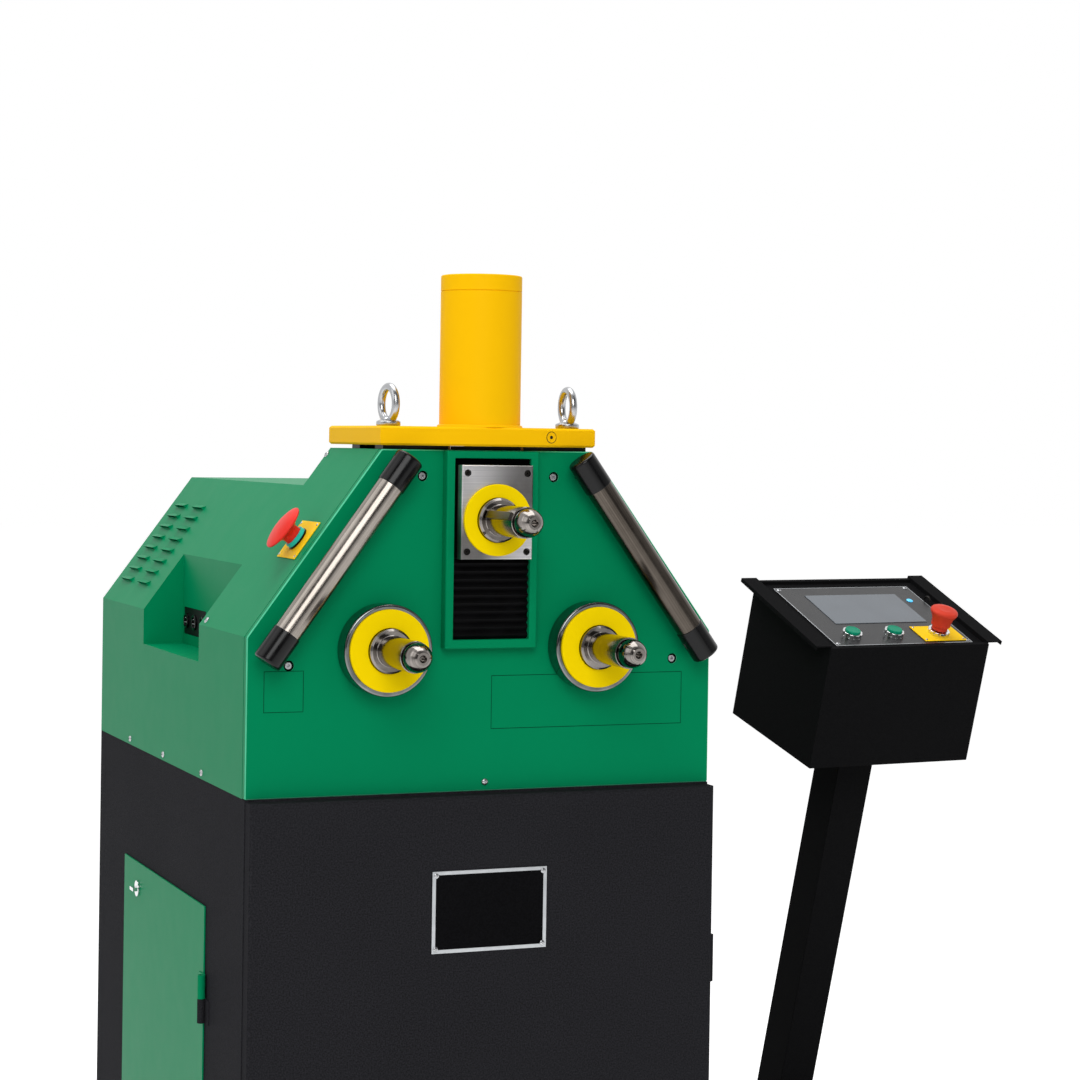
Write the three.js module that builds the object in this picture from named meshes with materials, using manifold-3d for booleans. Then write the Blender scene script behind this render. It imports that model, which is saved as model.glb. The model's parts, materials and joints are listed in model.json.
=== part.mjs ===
// Ring roller with three driven rolls, a hydraulic ram and a free-standing console on its post.
// Millimetres, X to the right, Y to the back, Z up; the origin is on the floor under the cabinet.
import * as THREE from 'three';
import { mergeVertices } from 'three/addons/utils/BufferGeometryUtils.js';
import Module from 'manifold-3d';

const wasm = await Module();
wasm.setup();

// Sides of round pieces
const SMALL = 12;
const ROUND = 20;

// Clearances
const FIT = 0.3;
const RUNNING_FIT = 0.4;
const SEAM = 0.4;
const OVERRUN = 20;

// Hood; heights in the head are counted from the top of the cabinet
const HOOD_WIDTH = 610;
const HOOD_DEPTH = 767;
const FOLD_RISE = 193.4;
const HEAD_RISE = 419.2;
const HEAD_TOP_WIDTH = 278.8;
const HEAD_DEPTH = 204.8;
const REAR_RISE = 370.9;
const HOOD_SHEET = 3;
const FRONT_PLATE = 12;
const FRONT_PLATE_EDGE = 2.5;

// Cabinet
const CABINET_TOP = 750;
const CABINET_FLOOR_PLATE = 10;
const CABINET_WALL = 4;
const CABINET_TOP_PLATE = 12;
const DOOR_FRAME = 16;
const LIP_HEIGHT = 16;
const LIP_INSET = 30;
const CABLE_HOLE_RADIUS = 30;
const CABLE_HOLE_INSET = 150;

// Front door and the hinges that both doors share
const DOOR_DEPTH = 22;
const DOOR_SHEET = 2;
const DOOR_EDGE = 3;
const DOOR_MARGIN = 1;
const DOOR_TOP_GAP = 2.5;
const HINGE_RADIUS = 5;
const HINGE_STANDOFF = 6;
const HINGE_PIN_RADIUS = 2.5;
const HINGE_HEIGHT = 60;
const HINGE_LEAF = 1.7;
const HINGE_LEAF_WIDTH = 18;
const FRONT_HINGE_SHARES = [0.2, 0.7];

// Quarter-turn locks, drawn released
const LOCK_RADIUS = 11;
const LOCK_FLANGE = 3;
const LOCK_SHAFT_RADIUS = 6;
const LOCK_GRIP_LENGTH = 18;
const LOCK_GRIP_WIDTH = 5;
const LOCK_GRIP_HEIGHT = 7;
const CAM_WIDTH = 14;
const CAM_THICKNESS = 3;
const CAM_REACH = 34;
const FRONT_LOCK_INSET = 43;
const FRONT_LOCK_HEIGHT = 400;

// Bare nameplate on the front door
const NAMEPLATE_WIDTH = 150;
const NAMEPLATE_HEIGHT = 100;
const NAMEPLATE_DROP = 92.6;
const NAMEPLATE_THICKNESS = 1.5;

// Access door in the left side of the cabinet
const ACCESS_FRONT = 168;
const ACCESS_REAR = 599;
const ACCESS_DROP = 155;
const ACCESS_HEIGHT = 380;
const ACCESS_SHEET = 2;
const ACCESS_FRAME = 15;
const ACCESS_HINGE_SHARES = [0.12, 0.7];
const ACCESS_LOCK_REAR_INSET = 83;
const ACCESS_LOCK_TOP_INSET = 35;

// Power pack and electrics inside the cabinet
const TANK_WIDTH = 270;
const TANK_DEPTH = 400;
const TANK_HEIGHT = 230;
const TANK_WALL = 4;
const TANK_LID = 6;
const TANK_LEFT_GAP = 20;
const TANK_REAR_GAP = 40;
const TANK_FILLER_RADIUS = 22;
const PUMP_MOTOR_RADIUS = 78;
const PUMP_MOTOR_LENGTH = 220;
const PUMP_BELL_RADIUS = 60;
const PUMP_BELL_LENGTH = 60;
const PUMP_RADIUS = 45;
const PUMP_LENGTH = 90;
const PUMP_FOOT_WIDTH = 110;
const VALVE_SIZE = 90;
const VALVE_HEIGHT = 80;
const SOLENOID_RADIUS = 18;
const SOLENOID_LENGTH = 45;
const ELECTRICS_WIDTH = 190;
const ELECTRICS_DEPTH = 180;
const ELECTRICS_HEIGHT = 460;
const ELECTRICS_RISE = 160;
const ELECTRICS_RIGHT_GAP = 20;
const ELECTRICS_WALL = 3;

// Roll shafts, their bearings and drives
const LOWER_ROLL_X = 136.9;
const LOWER_ROLL_RISE = 177.1;
const UPPER_ROLL_RISE = 334.3;
const SHOULDER_RADIUS = 27;
const SHOULDER_FRONT = 42;
const SHOULDER_REAR = 20;
const SHOULDER_EDGE = 2.5;
const JOURNAL_RADIUS = 22;
const JOURNAL_END = 150;
const SEAT_RADIUS = 19;
const GROOVE_RADIUS = 15.5;
const GROOVE_START = 125;
const GROOVE_END = 130;
const NOSE_RADIUS = 17.5;
const NOSE_END = 134;
const TIP_RADIUS = 8.5;
const TIP_END = 152;
const CENTRE_RADIUS = 3;
const CENTRE_DEPTH = 9;
const KEY_WIDTH = 10;
const KEY_HEIGHT = 8;
const KEY_STANDOUT = 3;
const KEY_MARGIN = 4;
const UPPER_KEY_TURN = -68;
const LOWER_KEY_TURN = 90;
const HOUSING_RADIUS = 56;
const HOUSING_SEAT_RADIUS = 50;
const HOUSING_FRONT = 30.3;
const HOUSING_EDGE = 3;
const DISC_THICKNESS = 4;
const LOWER_DISC_RADIUS = 50;
const UPPER_DISC_RADIUS = 44;
const DISC_EDGE = 0.8;
const BEARING_RADIUS = 38;
const BEARING_WIDTH = 20;
const FRONT_BEARING_Y = 2;
const REAR_BEARING_Y = 104;
const SPACER_WALL = 4;
const LOWER_DRIVE = { gearRadius: 60, gearLength: 100, motorRadius: 42, motorLength: 80 };
const UPPER_DRIVE = { gearRadius: 44, gearLength: 64, motorRadius: 31, motorLength: 75 };
const DRIVE_EDGE = 4;
const DRIVE_BORE_DEPTH = 25;

// Head frame behind the front plate
const FRAME_HALF_WIDTH = 275;
const FRAME_REAR_HALF_WIDTH = 230;
const FRAME_SHOULDER_RISE = 185;
const FRAME_NECK_RISE = 345;
const FRAME_NECK_HALF_WIDTH = 134;
const FRAME_PLATE = 30;
const FRAME_GAP = 60;
const FRAME_CHEEK = 30;
const FRAME_CHEEK_BASE = 100;
const FRAME_FLANGE = 20;
const FRAME_FLANGE_DEPTH = 160;
const SLOT_HALF_WIDTH = 50;
const SLOT_BASE = 175;
const TOP_PLATE_GAP = 4.8;

// Window, slot frame and ram
const WINDOW_HALF_WIDTH = 49.9;
const WINDOW_BASE = 187.4;
const WINDOW_TOP = 409.2;
const SLOT_BORDER = 10.5;
const SLOT_TOP_BORDER = 9.2;
const SLOT_BASE_BORDER = 11.1;
const SLOT_FRAME_DEPTH = 15.5;
const SLOT_FRAME_EDGE = 1.5;
const RAM_HALF_WIDTH = 46.6;
const RAM_BASE = 286.2;
const RAM_HEIGHT = 115;
const RAM_FACE_FRONT = 30.3;
const RAM_FACE_PLATE = 14;
const RAM_FACE_EDGE = 1.2;
const RAM_REAR = 130;
const RAM_SCREW_INSET_X = 7.6;
const RAM_SCREW_INSET_Z = 9.6;
const BELLOWS_FRONT = 12;
const BELLOWS_FOLD = 8;
const BELLOWS_FABRIC = 2;
const LOWER_BELLOWS_FOLDS = 10;
const UPPER_BELLOWS_FOLDS = 3;

// Screw holes
const SOCKET_SHANK_RADIUS = 3;
const SOCKET_SHANK_END = 32;
const COUNTERBORE_RADIUS = 6.5;
const COUNTERBORE_DEPTH = 8;
const RAM_HEAD_RADIUS = 4.1;
const RAM_HEAD_DEPTH = 6;
const RAM_SHANK_RADIUS = 2.4;
const RAM_SHANK_END = 12;
const LOWER_SCREW_INSET = 52.3;
const LOWER_SCREW_RISE = 158.6;
const UPPER_SCREW_INSET = 52.9;
const UPPER_SCREW_DROP = 32.2;

// Round bars across the front plate
const BAR_RADIUS = 17;
const BAR_STANDOFF = 25.5;
const BAR_LOWER_INSET = 16.8;
const BAR_LOWER_RISE = 164.8;
const BAR_UPPER_INSET = 28;
const BAR_UPPER_DROP = 9.5;
const SLEEVE_RADIUS = 18;
const SLEEVE_LENGTH = 43;
const SLEEVE_EDGE = 3;
const BAR_FOOT_RADIUS = 9;

// Top plate, cylinder and eye bolts
const TOP_PLATE_HALF_WIDTH = 141.6;
const TOP_PLATE_THICKNESS = 23.5;
const TOP_PLATE_DEPTH = 205;
const TOP_PLATE_BOW = 19;
const TOP_PLATE_BOW_HALF_WIDTH = 45.4;
const TOP_PLATE_EDGE = 2.5;
const CYLINDER_Y = 35;
const CYLINDER_RADIUS = 50.5;
const CYLINDER_BORE = 40;
const CYLINDER_LENGTH = 188;
const CYLINDER_FLOOR = 10;
const CYLINDER_CAP = 20;
const CAP_SPIGOT = 5;
const CAP_GROOVE = 0.9;
const CYLINDER_EDGE = 2;
const PISTON_HEIGHT = 22;
const PISTON_TOP_GAP = 4;
const ROD_RADIUS = 20;
const ROD_SEAT_RADIUS = 12;
const ROD_SEAT_DEPTH = 25;
const EYE_X = 119;
const EYE_Y = 37;
const EYE_RING_RADIUS = 21;
const EYE_WIRE_RADIUS = 5;
const EYE_HEIGHT = 53;
const EYE_COLLAR_RADIUS = 15;
const EYE_COLLAR_HEIGHT = 8;
const EYE_SHANK_RADIUS = 6;
const EYE_SHANK_LENGTH = 16;
const EYE_TURNS = [0.1, -0.045];

// Louvers pressed out of both slopes
const LOUVER_LENGTH = 52;
const LOUVER_PITCH = 18.7;
const LOUVER_FIRST = 36;
const LOUVER_ROWS = 8;
const LOUVER_REAR_INSETS = [161, 63];
const LOUVER_REACH = 9;
const LOUVER_STANDOUT = 5.5;
const LOUVER_SHEET = 1.2;

// Pocket in the left side, with the socket block in its inner wall
const POCKET_FRONT = 221;
const POCKET_REAR_INSET = 251;
const POCKET_FLOOR = 146;
const POCKET_WALL_X = 249.7;
const SOCKET_WIDTH = 113.5;
const SOCKET_REAR_GAP = 7.5;
const SOCKET_BASE = 160;
const SOCKET_TOP = 197;
const SOCKET_DEPTH = 35;
const SOCKET_FLANGE = 4;
const SOCKET_FLANGE_BORDER = 6;

// Stop buttons
const STOP_PLATE = 1.5;
const STOP_BARREL_RADIUS = 11;
const STOP_BARREL_LENGTH = 14;
const STOP_BLOCK_SIZE = 28;
const STOP_BLOCK_LENGTH = 30;
const STOP_BASE_HEIGHT = 2.5;
const STOP_COLLAR_HEIGHT = 7.5;
const STOP_COLLAR_STEP = 0.9;
const STOP_COLLAR_FLOOR = 1;
const STOP_STEM_RADIUS = 5;
const STOP_NECK_RADIUS = 11.5;
const STOP_NECK_SINK = 1.2;
const STOP_STEM_SINK = 4;
const STOP_TRAVEL_ROOM = 7;
const SIDE_STOP_Y = 65;
const SIDE_STOP_ALONG = 140;
const SIDE_STOP_PLATE = [55, 73];
const SIDE_STOP_COLLAR_RADIUS = 15.5;
const SIDE_STOP_HEAD_RADIUS = 29.7;
const SIDE_STOP_WAIST = 14;
const SIDE_STOP_RIM = 18;
const SIDE_STOP_TOP = 30;
const PANEL_STOP_PLATE = [73, 45];
const PANEL_STOP_COLLAR_RADIUS = 16;
const PANEL_STOP_HEAD_RADIUS = 20;
const PANEL_STOP_WAIST = 13;
const PANEL_STOP_WAIST_RADIUS = 14;
const PANEL_STOP_RIM = 32;
const PANEL_STOP_TOP = 43;

// Pedestal and console box; the post meets the floor at this place of the machine's frame
const CONSOLE_X = 704.3;
const CONSOLE_Y = 217.1;
const CONSOLE_YAW = 0.1007;
const POST_LEAN = 0.2775;
const POST_SIZE = 60;
const POST_WALL = 3;
const POST_FLANGE_SIZE = 120;
const POST_FLANGE = 6;
const FOOT_PLATE_WIDTH = 400;
const FOOT_PLATE_DEPTH = 480;
const FOOT_PLATE_THICKNESS = 10;
const FOOT_PLATE_REAR = 90;
const BOX_START = 782.1;
const BOX_WIDTH = 276.6;
const BOX_DEPTH = 213;
const BOX_FRONT_HEIGHT = 181;
const BOX_REAR_HEIGHT = 209.2;
const BOX_SHEET = 2;
const BOX_CABLE_RADIUS = 16;
const RECESS_FRONT = 6.5;
const RECESS_DEPTH = 2.5;
const RAIL_WIDTH = 24;
const RAIL_RISE = 3;
const RAIL_LIP = 4;
const RAIL_START = 2;
const RAIL_OVERHANG = 2;

// What sits in the console's panel; X from its left wall, Y from its front edge
const PANEL_WIDTH = 238;
const PANEL_DEPTH = 179.3;
const PANEL_LEFT = 18;
const PANEL_FRONT = 12;
const PANEL_SHEET = 1.5;
const PANEL_RIM = 12;
const SCREEN_LEFT = 57;
const SCREEN_WIDTH = 161;
const SCREEN_FRONT = 77;
const SCREEN_DEPTH = 89;
const SCREEN_BORDER = 3;
const SCREEN_FACE = 1;
const SCREEN_BODY = 22;
const BUTTON_Y = 39.3;
const BUTTON_PLACES = [60, 132.8];
const BEZEL_RADIUS = 15;
const BEZEL_HEIGHT = 8;
const BEZEL_FLOOR = 2;
const BEZEL_EDGE = 1.5;
const BUTTON_BARREL_RADIUS = 11;
const BUTTON_BARREL_LENGTH = 26;
const BUTTON_CAP_RADIUS = 11.2;
const BUTTON_CAP_TOP = 11;
const BUTTON_CAP_BASE = 5.2;
const BUTTON_STEM_RADIUS = 6;
const BUTTON_STEM_END = 12;
const PANEL_STOP_X = 212;

// Derived places
const SIDE_X = HOOD_WIDTH / 2;
const LOWER_SCREW_X = SIDE_X - LOWER_SCREW_INSET;
const UPPER_SCREW_X = HEAD_TOP_WIDTH / 2 - UPPER_SCREW_INSET;
const UPPER_SCREW_RISE = HEAD_RISE - UPPER_SCREW_DROP;
const BAR_LOWER_X = SIDE_X - BAR_LOWER_INSET;
const BAR_UPPER_X = HEAD_TOP_WIDTH / 2 - BAR_UPPER_INSET;
const BAR_UPPER_RISE = HEAD_RISE - BAR_UPPER_DROP;
const POCKET_REAR = HOOD_DEPTH - POCKET_REAR_INSET;
const SOCKET_REAR = POCKET_REAR - SOCKET_REAR_GAP;
const SOCKET_FRONT = SOCKET_REAR - SOCKET_WIDTH;
const SLOPE_RUN = SIDE_X - HEAD_TOP_WIDTH / 2;
const SLOPE_ANGLE = Math.atan2(HEAD_RISE - FOLD_RISE, SLOPE_RUN);
const FRAME_MID = FRONT_PLATE + FRAME_PLATE;
const FRAME_REAR_FRONT = FRAME_MID + FRAME_GAP;
const FRAME_REAR = FRAME_REAR_FRONT + FRAME_PLATE;
const FRAME_TOP = HEAD_RISE + TOP_PLATE_GAP;
const PLATE_TOP = FRAME_TOP + TOP_PLATE_THICKNESS;
const CYLINDER_TOP = PLATE_TOP + CYLINDER_LENGTH;
const RAM_TOP = RAM_BASE + RAM_HEIGHT;
const RAM_FRONT = RAM_FACE_FRONT - RAM_FACE_PLATE;
const ACCESS_TOP = CABINET_TOP - ACCESS_DROP;
const ACCESS_BASE = ACCESS_TOP - ACCESS_HEIGHT;
const BOX_TILT = Math.atan2(BOX_REAR_HEIGHT - BOX_FRONT_HEIGHT, BOX_DEPTH);
const BOX_SLOPE = Math.hypot(BOX_DEPTH, BOX_REAR_HEIGHT - BOX_FRONT_HEIGHT);
const STOP_START = STOP_PLATE + 2 * FIT;

const LOOKS = {
  green: [0x00875a, 0.45, 0.0],
  yellow: [0xffc200, 0.4, 0.0],
  discYellow: [0xffdc00, 0.4, 0.0],
  black: [0x28282a, 0.65, 0.0],
  satinBlack: [0x111111, 0.45, 0.0],
  rubber: [0x161616, 0.85, 0.0],
  steel: [0xa9a6a2, 0.3, 1.0],
  darkSteel: [0x3b3936, 0.5, 1.0],
  castIron: [0x4a4a4c, 0.7, 0.6],
  chrome: [0xd8dadd, 0.12, 1.0],
  zinc: [0xb8bbbf, 0.3, 1.0],
  bronze: [0xa8743a, 0.4, 1.0],
  red: [0xe8352b, 0.4, 0.0],
  turquoise: [0x30c8c0, 0.4, 0.0],
  capGreen: [0x0a8f6e, 0.35, 0.0],
  screenGrey: [0x7d828a, 0.15, 0.0],
  nameplate: [0x1b1b1c, 0.4, 0.5],
};

// Solids

function toSolid(geometry) {
  const bare = geometry.clone();
  bare.deleteAttribute('normal');
  bare.deleteAttribute('uv');
  const merged = mergeVertices(bare, 1e-4);
  const corners = merged.index.array;
  const kept = [];
  for (let i = 0; i < corners.length; i += 3) {
    const [a, b, c] = corners.slice(i, i + 3);
    if (a !== b && b !== c && c !== a) kept.push(a, b, c);
  }
  return new wasm.Manifold(new wasm.Mesh({
    numProp: 3,
    vertProperties: new Float32Array(merged.attributes.position.array),
    triVerts: new Uint32Array(kept),
  }));
}

function toGeometry(solid) {
  const mesh = solid.getMesh();
  const geometry = new THREE.BufferGeometry();
  geometry.setAttribute('position', new THREE.BufferAttribute(mesh.vertProperties.slice(), 3));
  geometry.setIndex(new THREE.BufferAttribute(mesh.triVerts.slice(), 1));
  geometry.computeVertexNormals();
  return geometry;
}

function join(...pieces) {
  return toGeometry(pieces.map(toSolid).reduce((sum, piece) => sum.add(piece)));
}

function cut(body, ...tools) {
  return toGeometry(tools.map(toSolid).reduce((rest, tool) => rest.subtract(tool), toSolid(body)));
}

function common(first, second) {
  return toGeometry(toSolid(first).intersect(toSolid(second)));
}

function box(x0, x1, y0, y1, z0, z1) {
  const geometry = new THREE.BoxGeometry(x1 - x0, y1 - y0, z1 - z0);
  return geometry.translate((x0 + x1) / 2, (y0 + y1) / 2, (z0 + z1) / 2);
}

// An outline in X and Y, pushed from z0 to z1; an edge rounds both rims.
function slabZ(points, z0, z1, edge = 0) {
  const options = { depth: z1 - z0 - 2 * edge, bevelEnabled: edge > 0 };
  Object.assign(options, { bevelSize: edge, bevelOffset: -edge, bevelThickness: edge, bevelSegments: 1 });
  const shape = new THREE.Shape(points.map(([x, y]) => new THREE.Vector2(x, y)));
  return new THREE.ExtrudeGeometry(shape, options).translate(0, 0, z0 + edge);
}

// An outline in X and Z pushed along Y, and one in Y and Z pushed along X.
function slabY(points, y0, y1, edge = 0) {
  return slabZ(points, -y1, -y0, edge).rotateX(Math.PI / 2);
}

function slabX(points, x0, x1, edge = 0) {
  return slabZ(points, x0, x1, edge).rotateX(Math.PI / 2).rotateZ(Math.PI / 2);
}

function rectangle(x0, x1, y0, y1) {
  return [[x0, y0], [x1, y0], [x1, y1], [x0, y1]];
}

// Turned pieces stand along Y; a profile holds radius and height pairs, from below, outside first.
function turned(profile, segments = ROUND) {
  return new THREE.LatheGeometry(profile.map(([r, h]) => new THREE.Vector2(r, h)), segments);
}

function rod(radius, h0, h1, segments = ROUND) {
  return turned([[0, h0], [radius, h0], [radius, h1], [0, h1]], segments);
}

function tube(inner, outer, h0, h1, segments = ROUND) {
  return turned([[inner, h0], [outer, h0], [outer, h1], [inner, h1], [inner, h0]], segments);
}

function upright(geometry) {
  return geometry.rotateX(Math.PI / 2);
}

function alongX(geometry) {
  return geometry.rotateZ(-Math.PI / 2);
}

function add(parent, name, geometry, [color, roughness, metalness]) {
  const material = new THREE.MeshStandardMaterial({ color, roughness, metalness });
  const mesh = new THREE.Mesh(toGeometry(toSolid(geometry)), material);
  mesh.name = name;
  parent.add(mesh);
}

function place(parent, x, y, z) {
  const group = new THREE.Group();
  group.position.set(x, y, z);
  parent.add(group);
  return group;
}

const ringRoller = new THREE.Group();
ringRoller.name = 'ring_roller';
const machine = place(ringRoller, 0, -HOOD_DEPTH / 2, 0);
const head = place(machine, 0, 0, CABINET_TOP);

// Cabinet

function hoodLip(side) {
  const outer = side * (SIDE_X - HOOD_SHEET - FIT);
  const inner = outer - side * CABINET_WALL;
  return box(Math.min(outer, inner), Math.max(outer, inner), LIP_INSET, HOOD_DEPTH - LIP_INSET,
    CABINET_TOP - CABINET_TOP_PLATE / 2, CABINET_TOP + LIP_HEIGHT);
}

function buildCabinet() {
  const innerX = SIDE_X - CABINET_WALL;
  const innerTop = CABINET_TOP - CABINET_TOP_PLATE;
  const doorX = innerX - DOOR_FRAME;
  const shell = box(-SIDE_X, SIDE_X, 0, HOOD_DEPTH, 0, CABINET_TOP);
  const inside = box(-innerX, innerX, CABINET_WALL, HOOD_DEPTH - CABINET_WALL, CABINET_FLOOR_PLATE,
      innerTop);
  const doorway = box(-doorX, doorX, -OVERRUN, OVERRUN, CABINET_FLOOR_PLATE + DOOR_FRAME,
      innerTop - DOOR_FRAME);
  const hatch = box(-SIDE_X - OVERRUN, OVERRUN - SIDE_X, ACCESS_FRONT + ACCESS_FRAME,
    ACCESS_REAR - ACCESS_FRAME, ACCESS_BASE + ACCESS_FRAME, ACCESS_TOP - ACCESS_FRAME);
  const cableHole = upright(rod(CABLE_HOLE_RADIUS, innerTop - OVERRUN, CABINET_TOP + OVERRUN))
    .translate(0, HOOD_DEPTH - CABLE_HOLE_INSET, 0);
  const body = cut(shell, inside, doorway, hatch, cableHole);
  add(machine, 'base_cabinet', join(body, hoodLip(-1), hoodLip(1), ...fixedHinges()), LOOKS.black);
}

// One half of a pin hinge round a vertical axis, with its leaf as a box from x0 to x1 and y0 to y1.
// The fixed half is below and carries the pin; the swinging half turns on it.
function hingeHalf([x, y], [x0, x1, y0, y1], z, swinging) {
  const reach = HINGE_HEIGHT / 2;
  const bottom = swinging ? z + FIT : z - reach;
  const top = swinging ? z + reach : z;
  const pinTop = z + reach - FIT;
  const barrel = swinging
    ? tube(HINGE_PIN_RADIUS + FIT, HINGE_RADIUS, bottom, top, SMALL)
    : turned([[0, bottom], [HINGE_RADIUS, bottom], [HINGE_RADIUS, top], [HINGE_PIN_RADIUS, top],
      [HINGE_PIN_RADIUS, pinTop], [0, pinTop]], SMALL);
  const leaf = cut(box(x0, x1, y0, y1, bottom, top),
    upright(rod(HINGE_PIN_RADIUS + FIT, bottom - OVERRUN, top + OVERRUN, SMALL)).translate(x, y, 0));
  return join(upright(barrel).translate(x, y, 0), leaf);
}

const frontHinge = [SIDE_X + HINGE_STANDOFF, 0];
const accessHinge = [-SIDE_X - HINGE_STANDOFF, ACCESS_FRONT - HINGE_RADIUS];
const frontHingeHeights = FRONT_HINGE_SHARES.map((share) => share * CABINET_TOP);
const accessHingeHeights = ACCESS_HINGE_SHARES.map((share) => ACCESS_BASE + share * ACCESS_HEIGHT);

function fixedHinges() {
  const sink = CABINET_WALL / 2;
  const frontLeaf = [SIDE_X - sink, SIDE_X + HINGE_LEAF, 0, HINGE_LEAF_WIDTH];
  const accessLeaf = [-SIDE_X - HINGE_LEAF, sink - SIDE_X, accessHinge[1] - HINGE_LEAF_WIDTH,
      accessHinge[1]];
  const front = frontHingeHeights.map((z) => hingeHalf(frontHinge, frontLeaf, z, false));
  const access = accessHingeHeights.map((z) => hingeHalf(accessHinge, accessLeaf, z, false));
  return [...front, ...access];
}

function buildFrontDoor() {
  const x = SIDE_X - DOOR_MARGIN;
  const bottom = CABINET_FLOOR_PLATE + FIT;
  const top = CABINET_TOP - DOOR_TOP_GAP;
  const back = -FIT;
  const front = back - DOOR_DEPTH;
  const face = slabY(rectangle(-x, x, bottom, top), front, back, DOOR_EDGE);
  const rim = slabY(rectangle(-x, x, bottom, top), front + DOOR_EDGE, back);
  const hollow = box(DOOR_SHEET - x, x - DOOR_SHEET, front + DOOR_SHEET, OVERRUN, bottom + DOOR_SHEET,
      top - DOOR_SHEET);
  const lockX = FRONT_LOCK_INSET - x;
  const lockHole = rod(LOCK_SHAFT_RADIUS + FIT, front - OVERRUN, OVERRUN, SMALL).translate(lockX, 0,
      FRONT_LOCK_HEIGHT);
  const leafReach = [x - DOOR_SHEET / 2, SIDE_X + HINGE_LEAF, back - HINGE_LEAF_WIDTH, back];
  const leaves = frontHingeHeights.map((z) => hingeHalf(frontHinge, leafReach, z, true));
  add(machine, 'front_door', join(cut(join(face, rim), hollow, lockHole), ...leaves), LOOKS.black);
  const lock = quarterTurnLock(front, CABINET_WALL).rotateY(-Math.PI / 2);
  add(machine, 'front_door_lock', lock.translate(lockX, 0, FRONT_LOCK_HEIGHT), LOOKS.chrome);

  const plateTop = CABINET_TOP - NAMEPLATE_DROP;
  add(machine, 'nameplate', box(-NAMEPLATE_WIDTH / 2, NAMEPLATE_WIDTH / 2,
      front - NAMEPLATE_THICKNESS, front,
    plateTop - NAMEPLATE_HEIGHT, plateTop), LOOKS.nameplate);
}

// A quarter-turn lock along Y: flange and grip in front of the door face, cam behind the frame.
function quarterTurnLock(doorFace, frameBack) {
  const camFront = frameBack + FIT;
  const gripBack = doorFace - LOCK_FLANGE / 2;
  const flange = rod(LOCK_RADIUS, doorFace - LOCK_FLANGE, doorFace);
  const shaft = rod(LOCK_SHAFT_RADIUS, gripBack, camFront + CAM_THICKNESS, SMALL);
  const grip = box(-LOCK_GRIP_LENGTH / 2, LOCK_GRIP_LENGTH / 2, doorFace - LOCK_FLANGE - LOCK_GRIP_HEIGHT,
    gripBack, -LOCK_GRIP_WIDTH / 2, LOCK_GRIP_WIDTH / 2);
  const cam = box(-CAM_WIDTH / 2, CAM_REACH, camFront, camFront + CAM_THICKNESS, -CAM_WIDTH / 2,
      CAM_WIDTH / 2);
  return join(flange, shaft, grip, cam);
}

function buildAccessDoor() {
  const inner = -SIDE_X - FIT;
  const outer = inner - ACCESS_SHEET;
  const lockY = ACCESS_REAR - ACCESS_LOCK_REAR_INSET;
  const lockZ = ACCESS_TOP - ACCESS_LOCK_TOP_INSET;
  const sheet = box(outer, inner, ACCESS_FRONT, ACCESS_REAR, ACCESS_BASE, ACCESS_TOP);
  const lockHole = alongX(rod(LOCK_SHAFT_RADIUS + FIT, -OVERRUN, OVERRUN, SMALL)).translate(-SIDE_X,
      lockY, lockZ);
  const leaf = [outer - HINGE_LEAF, outer + ACCESS_SHEET / 2, accessHinge[1],
      ACCESS_FRONT + HINGE_LEAF_WIDTH];
  const leaves = accessHingeHeights.map((z) => hingeHalf(accessHinge, leaf, z, true));
  add(machine, 'side_access_door', join(cut(sheet, lockHole), ...leaves), LOOKS.green);
  const lock = quarterTurnLock(outer + SIDE_X, CABINET_WALL).rotateZ(-Math.PI / 2);
  add(machine, 'side_door_lock', lock.translate(-SIDE_X, lockY, lockZ), LOOKS.chrome);
}

function buildPowerPack() {
  const x0 = CABINET_WALL + TANK_LEFT_GAP - SIDE_X;
  const x1 = x0 + TANK_WIDTH;
  const y1 = HOOD_DEPTH - CABINET_WALL - TANK_REAR_GAP;
  const y0 = y1 - TANK_DEPTH;
  const z1 = CABINET_FLOOR_PLATE + TANK_HEIGHT;
  const midX = (x0 + x1) / 2;
  const lidTop = z1 + TANK_LID;
  const wall = TANK_WALL;
  const tank = box(x0, x1, y0, y1, CABINET_FLOOR_PLATE, lidTop);
  const oil = box(x0 + wall, x1 - wall, y0 + wall, y1 - wall, CABINET_FLOOR_PLATE + wall, z1);
  const filler = upright(rod(TANK_FILLER_RADIUS, z1 - OVERRUN, lidTop + OVERRUN, SMALL))
    .translate(x0 + 2 * TANK_FILLER_RADIUS, y0 + 2 * TANK_FILLER_RADIUS, 0);
  const axisZ = lidTop + PUMP_MOTOR_RADIUS + TANK_WALL;
  const bellY = y1 - PUMP_MOTOR_LENGTH;
  const pumpY = bellY - PUMP_BELL_LENGTH;
  const motor = join(rod(PUMP_MOTOR_RADIUS, bellY, y1), rod(PUMP_BELL_RADIUS, pumpY, bellY + wall),
    rod(PUMP_RADIUS, pumpY - PUMP_LENGTH, pumpY + wall)).translate(midX, 0, axisZ);
  const foot = box(midX - PUMP_FOOT_WIDTH / 2, midX + PUMP_FOOT_WIDTH / 2, bellY + wall, y1 - wall,
    lidTop - TANK_LID / 2, axisZ);
  const valve = box(x1 - VALVE_SIZE, x1, y0, y0 + VALVE_SIZE, lidTop - TANK_LID / 2,
      lidTop + VALVE_HEIGHT);
  const solenoid = upright(rod(SOLENOID_RADIUS, lidTop, lidTop + VALVE_HEIGHT + SOLENOID_LENGTH, SMALL))
    .translate(x1 - VALVE_SIZE / 2, y0 + VALVE_SIZE / 2, 0);
  add(machine, 'power_pack', join(cut(tank, oil, filler), motor, foot, valve, solenoid), LOOKS.castIron);
}

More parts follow.
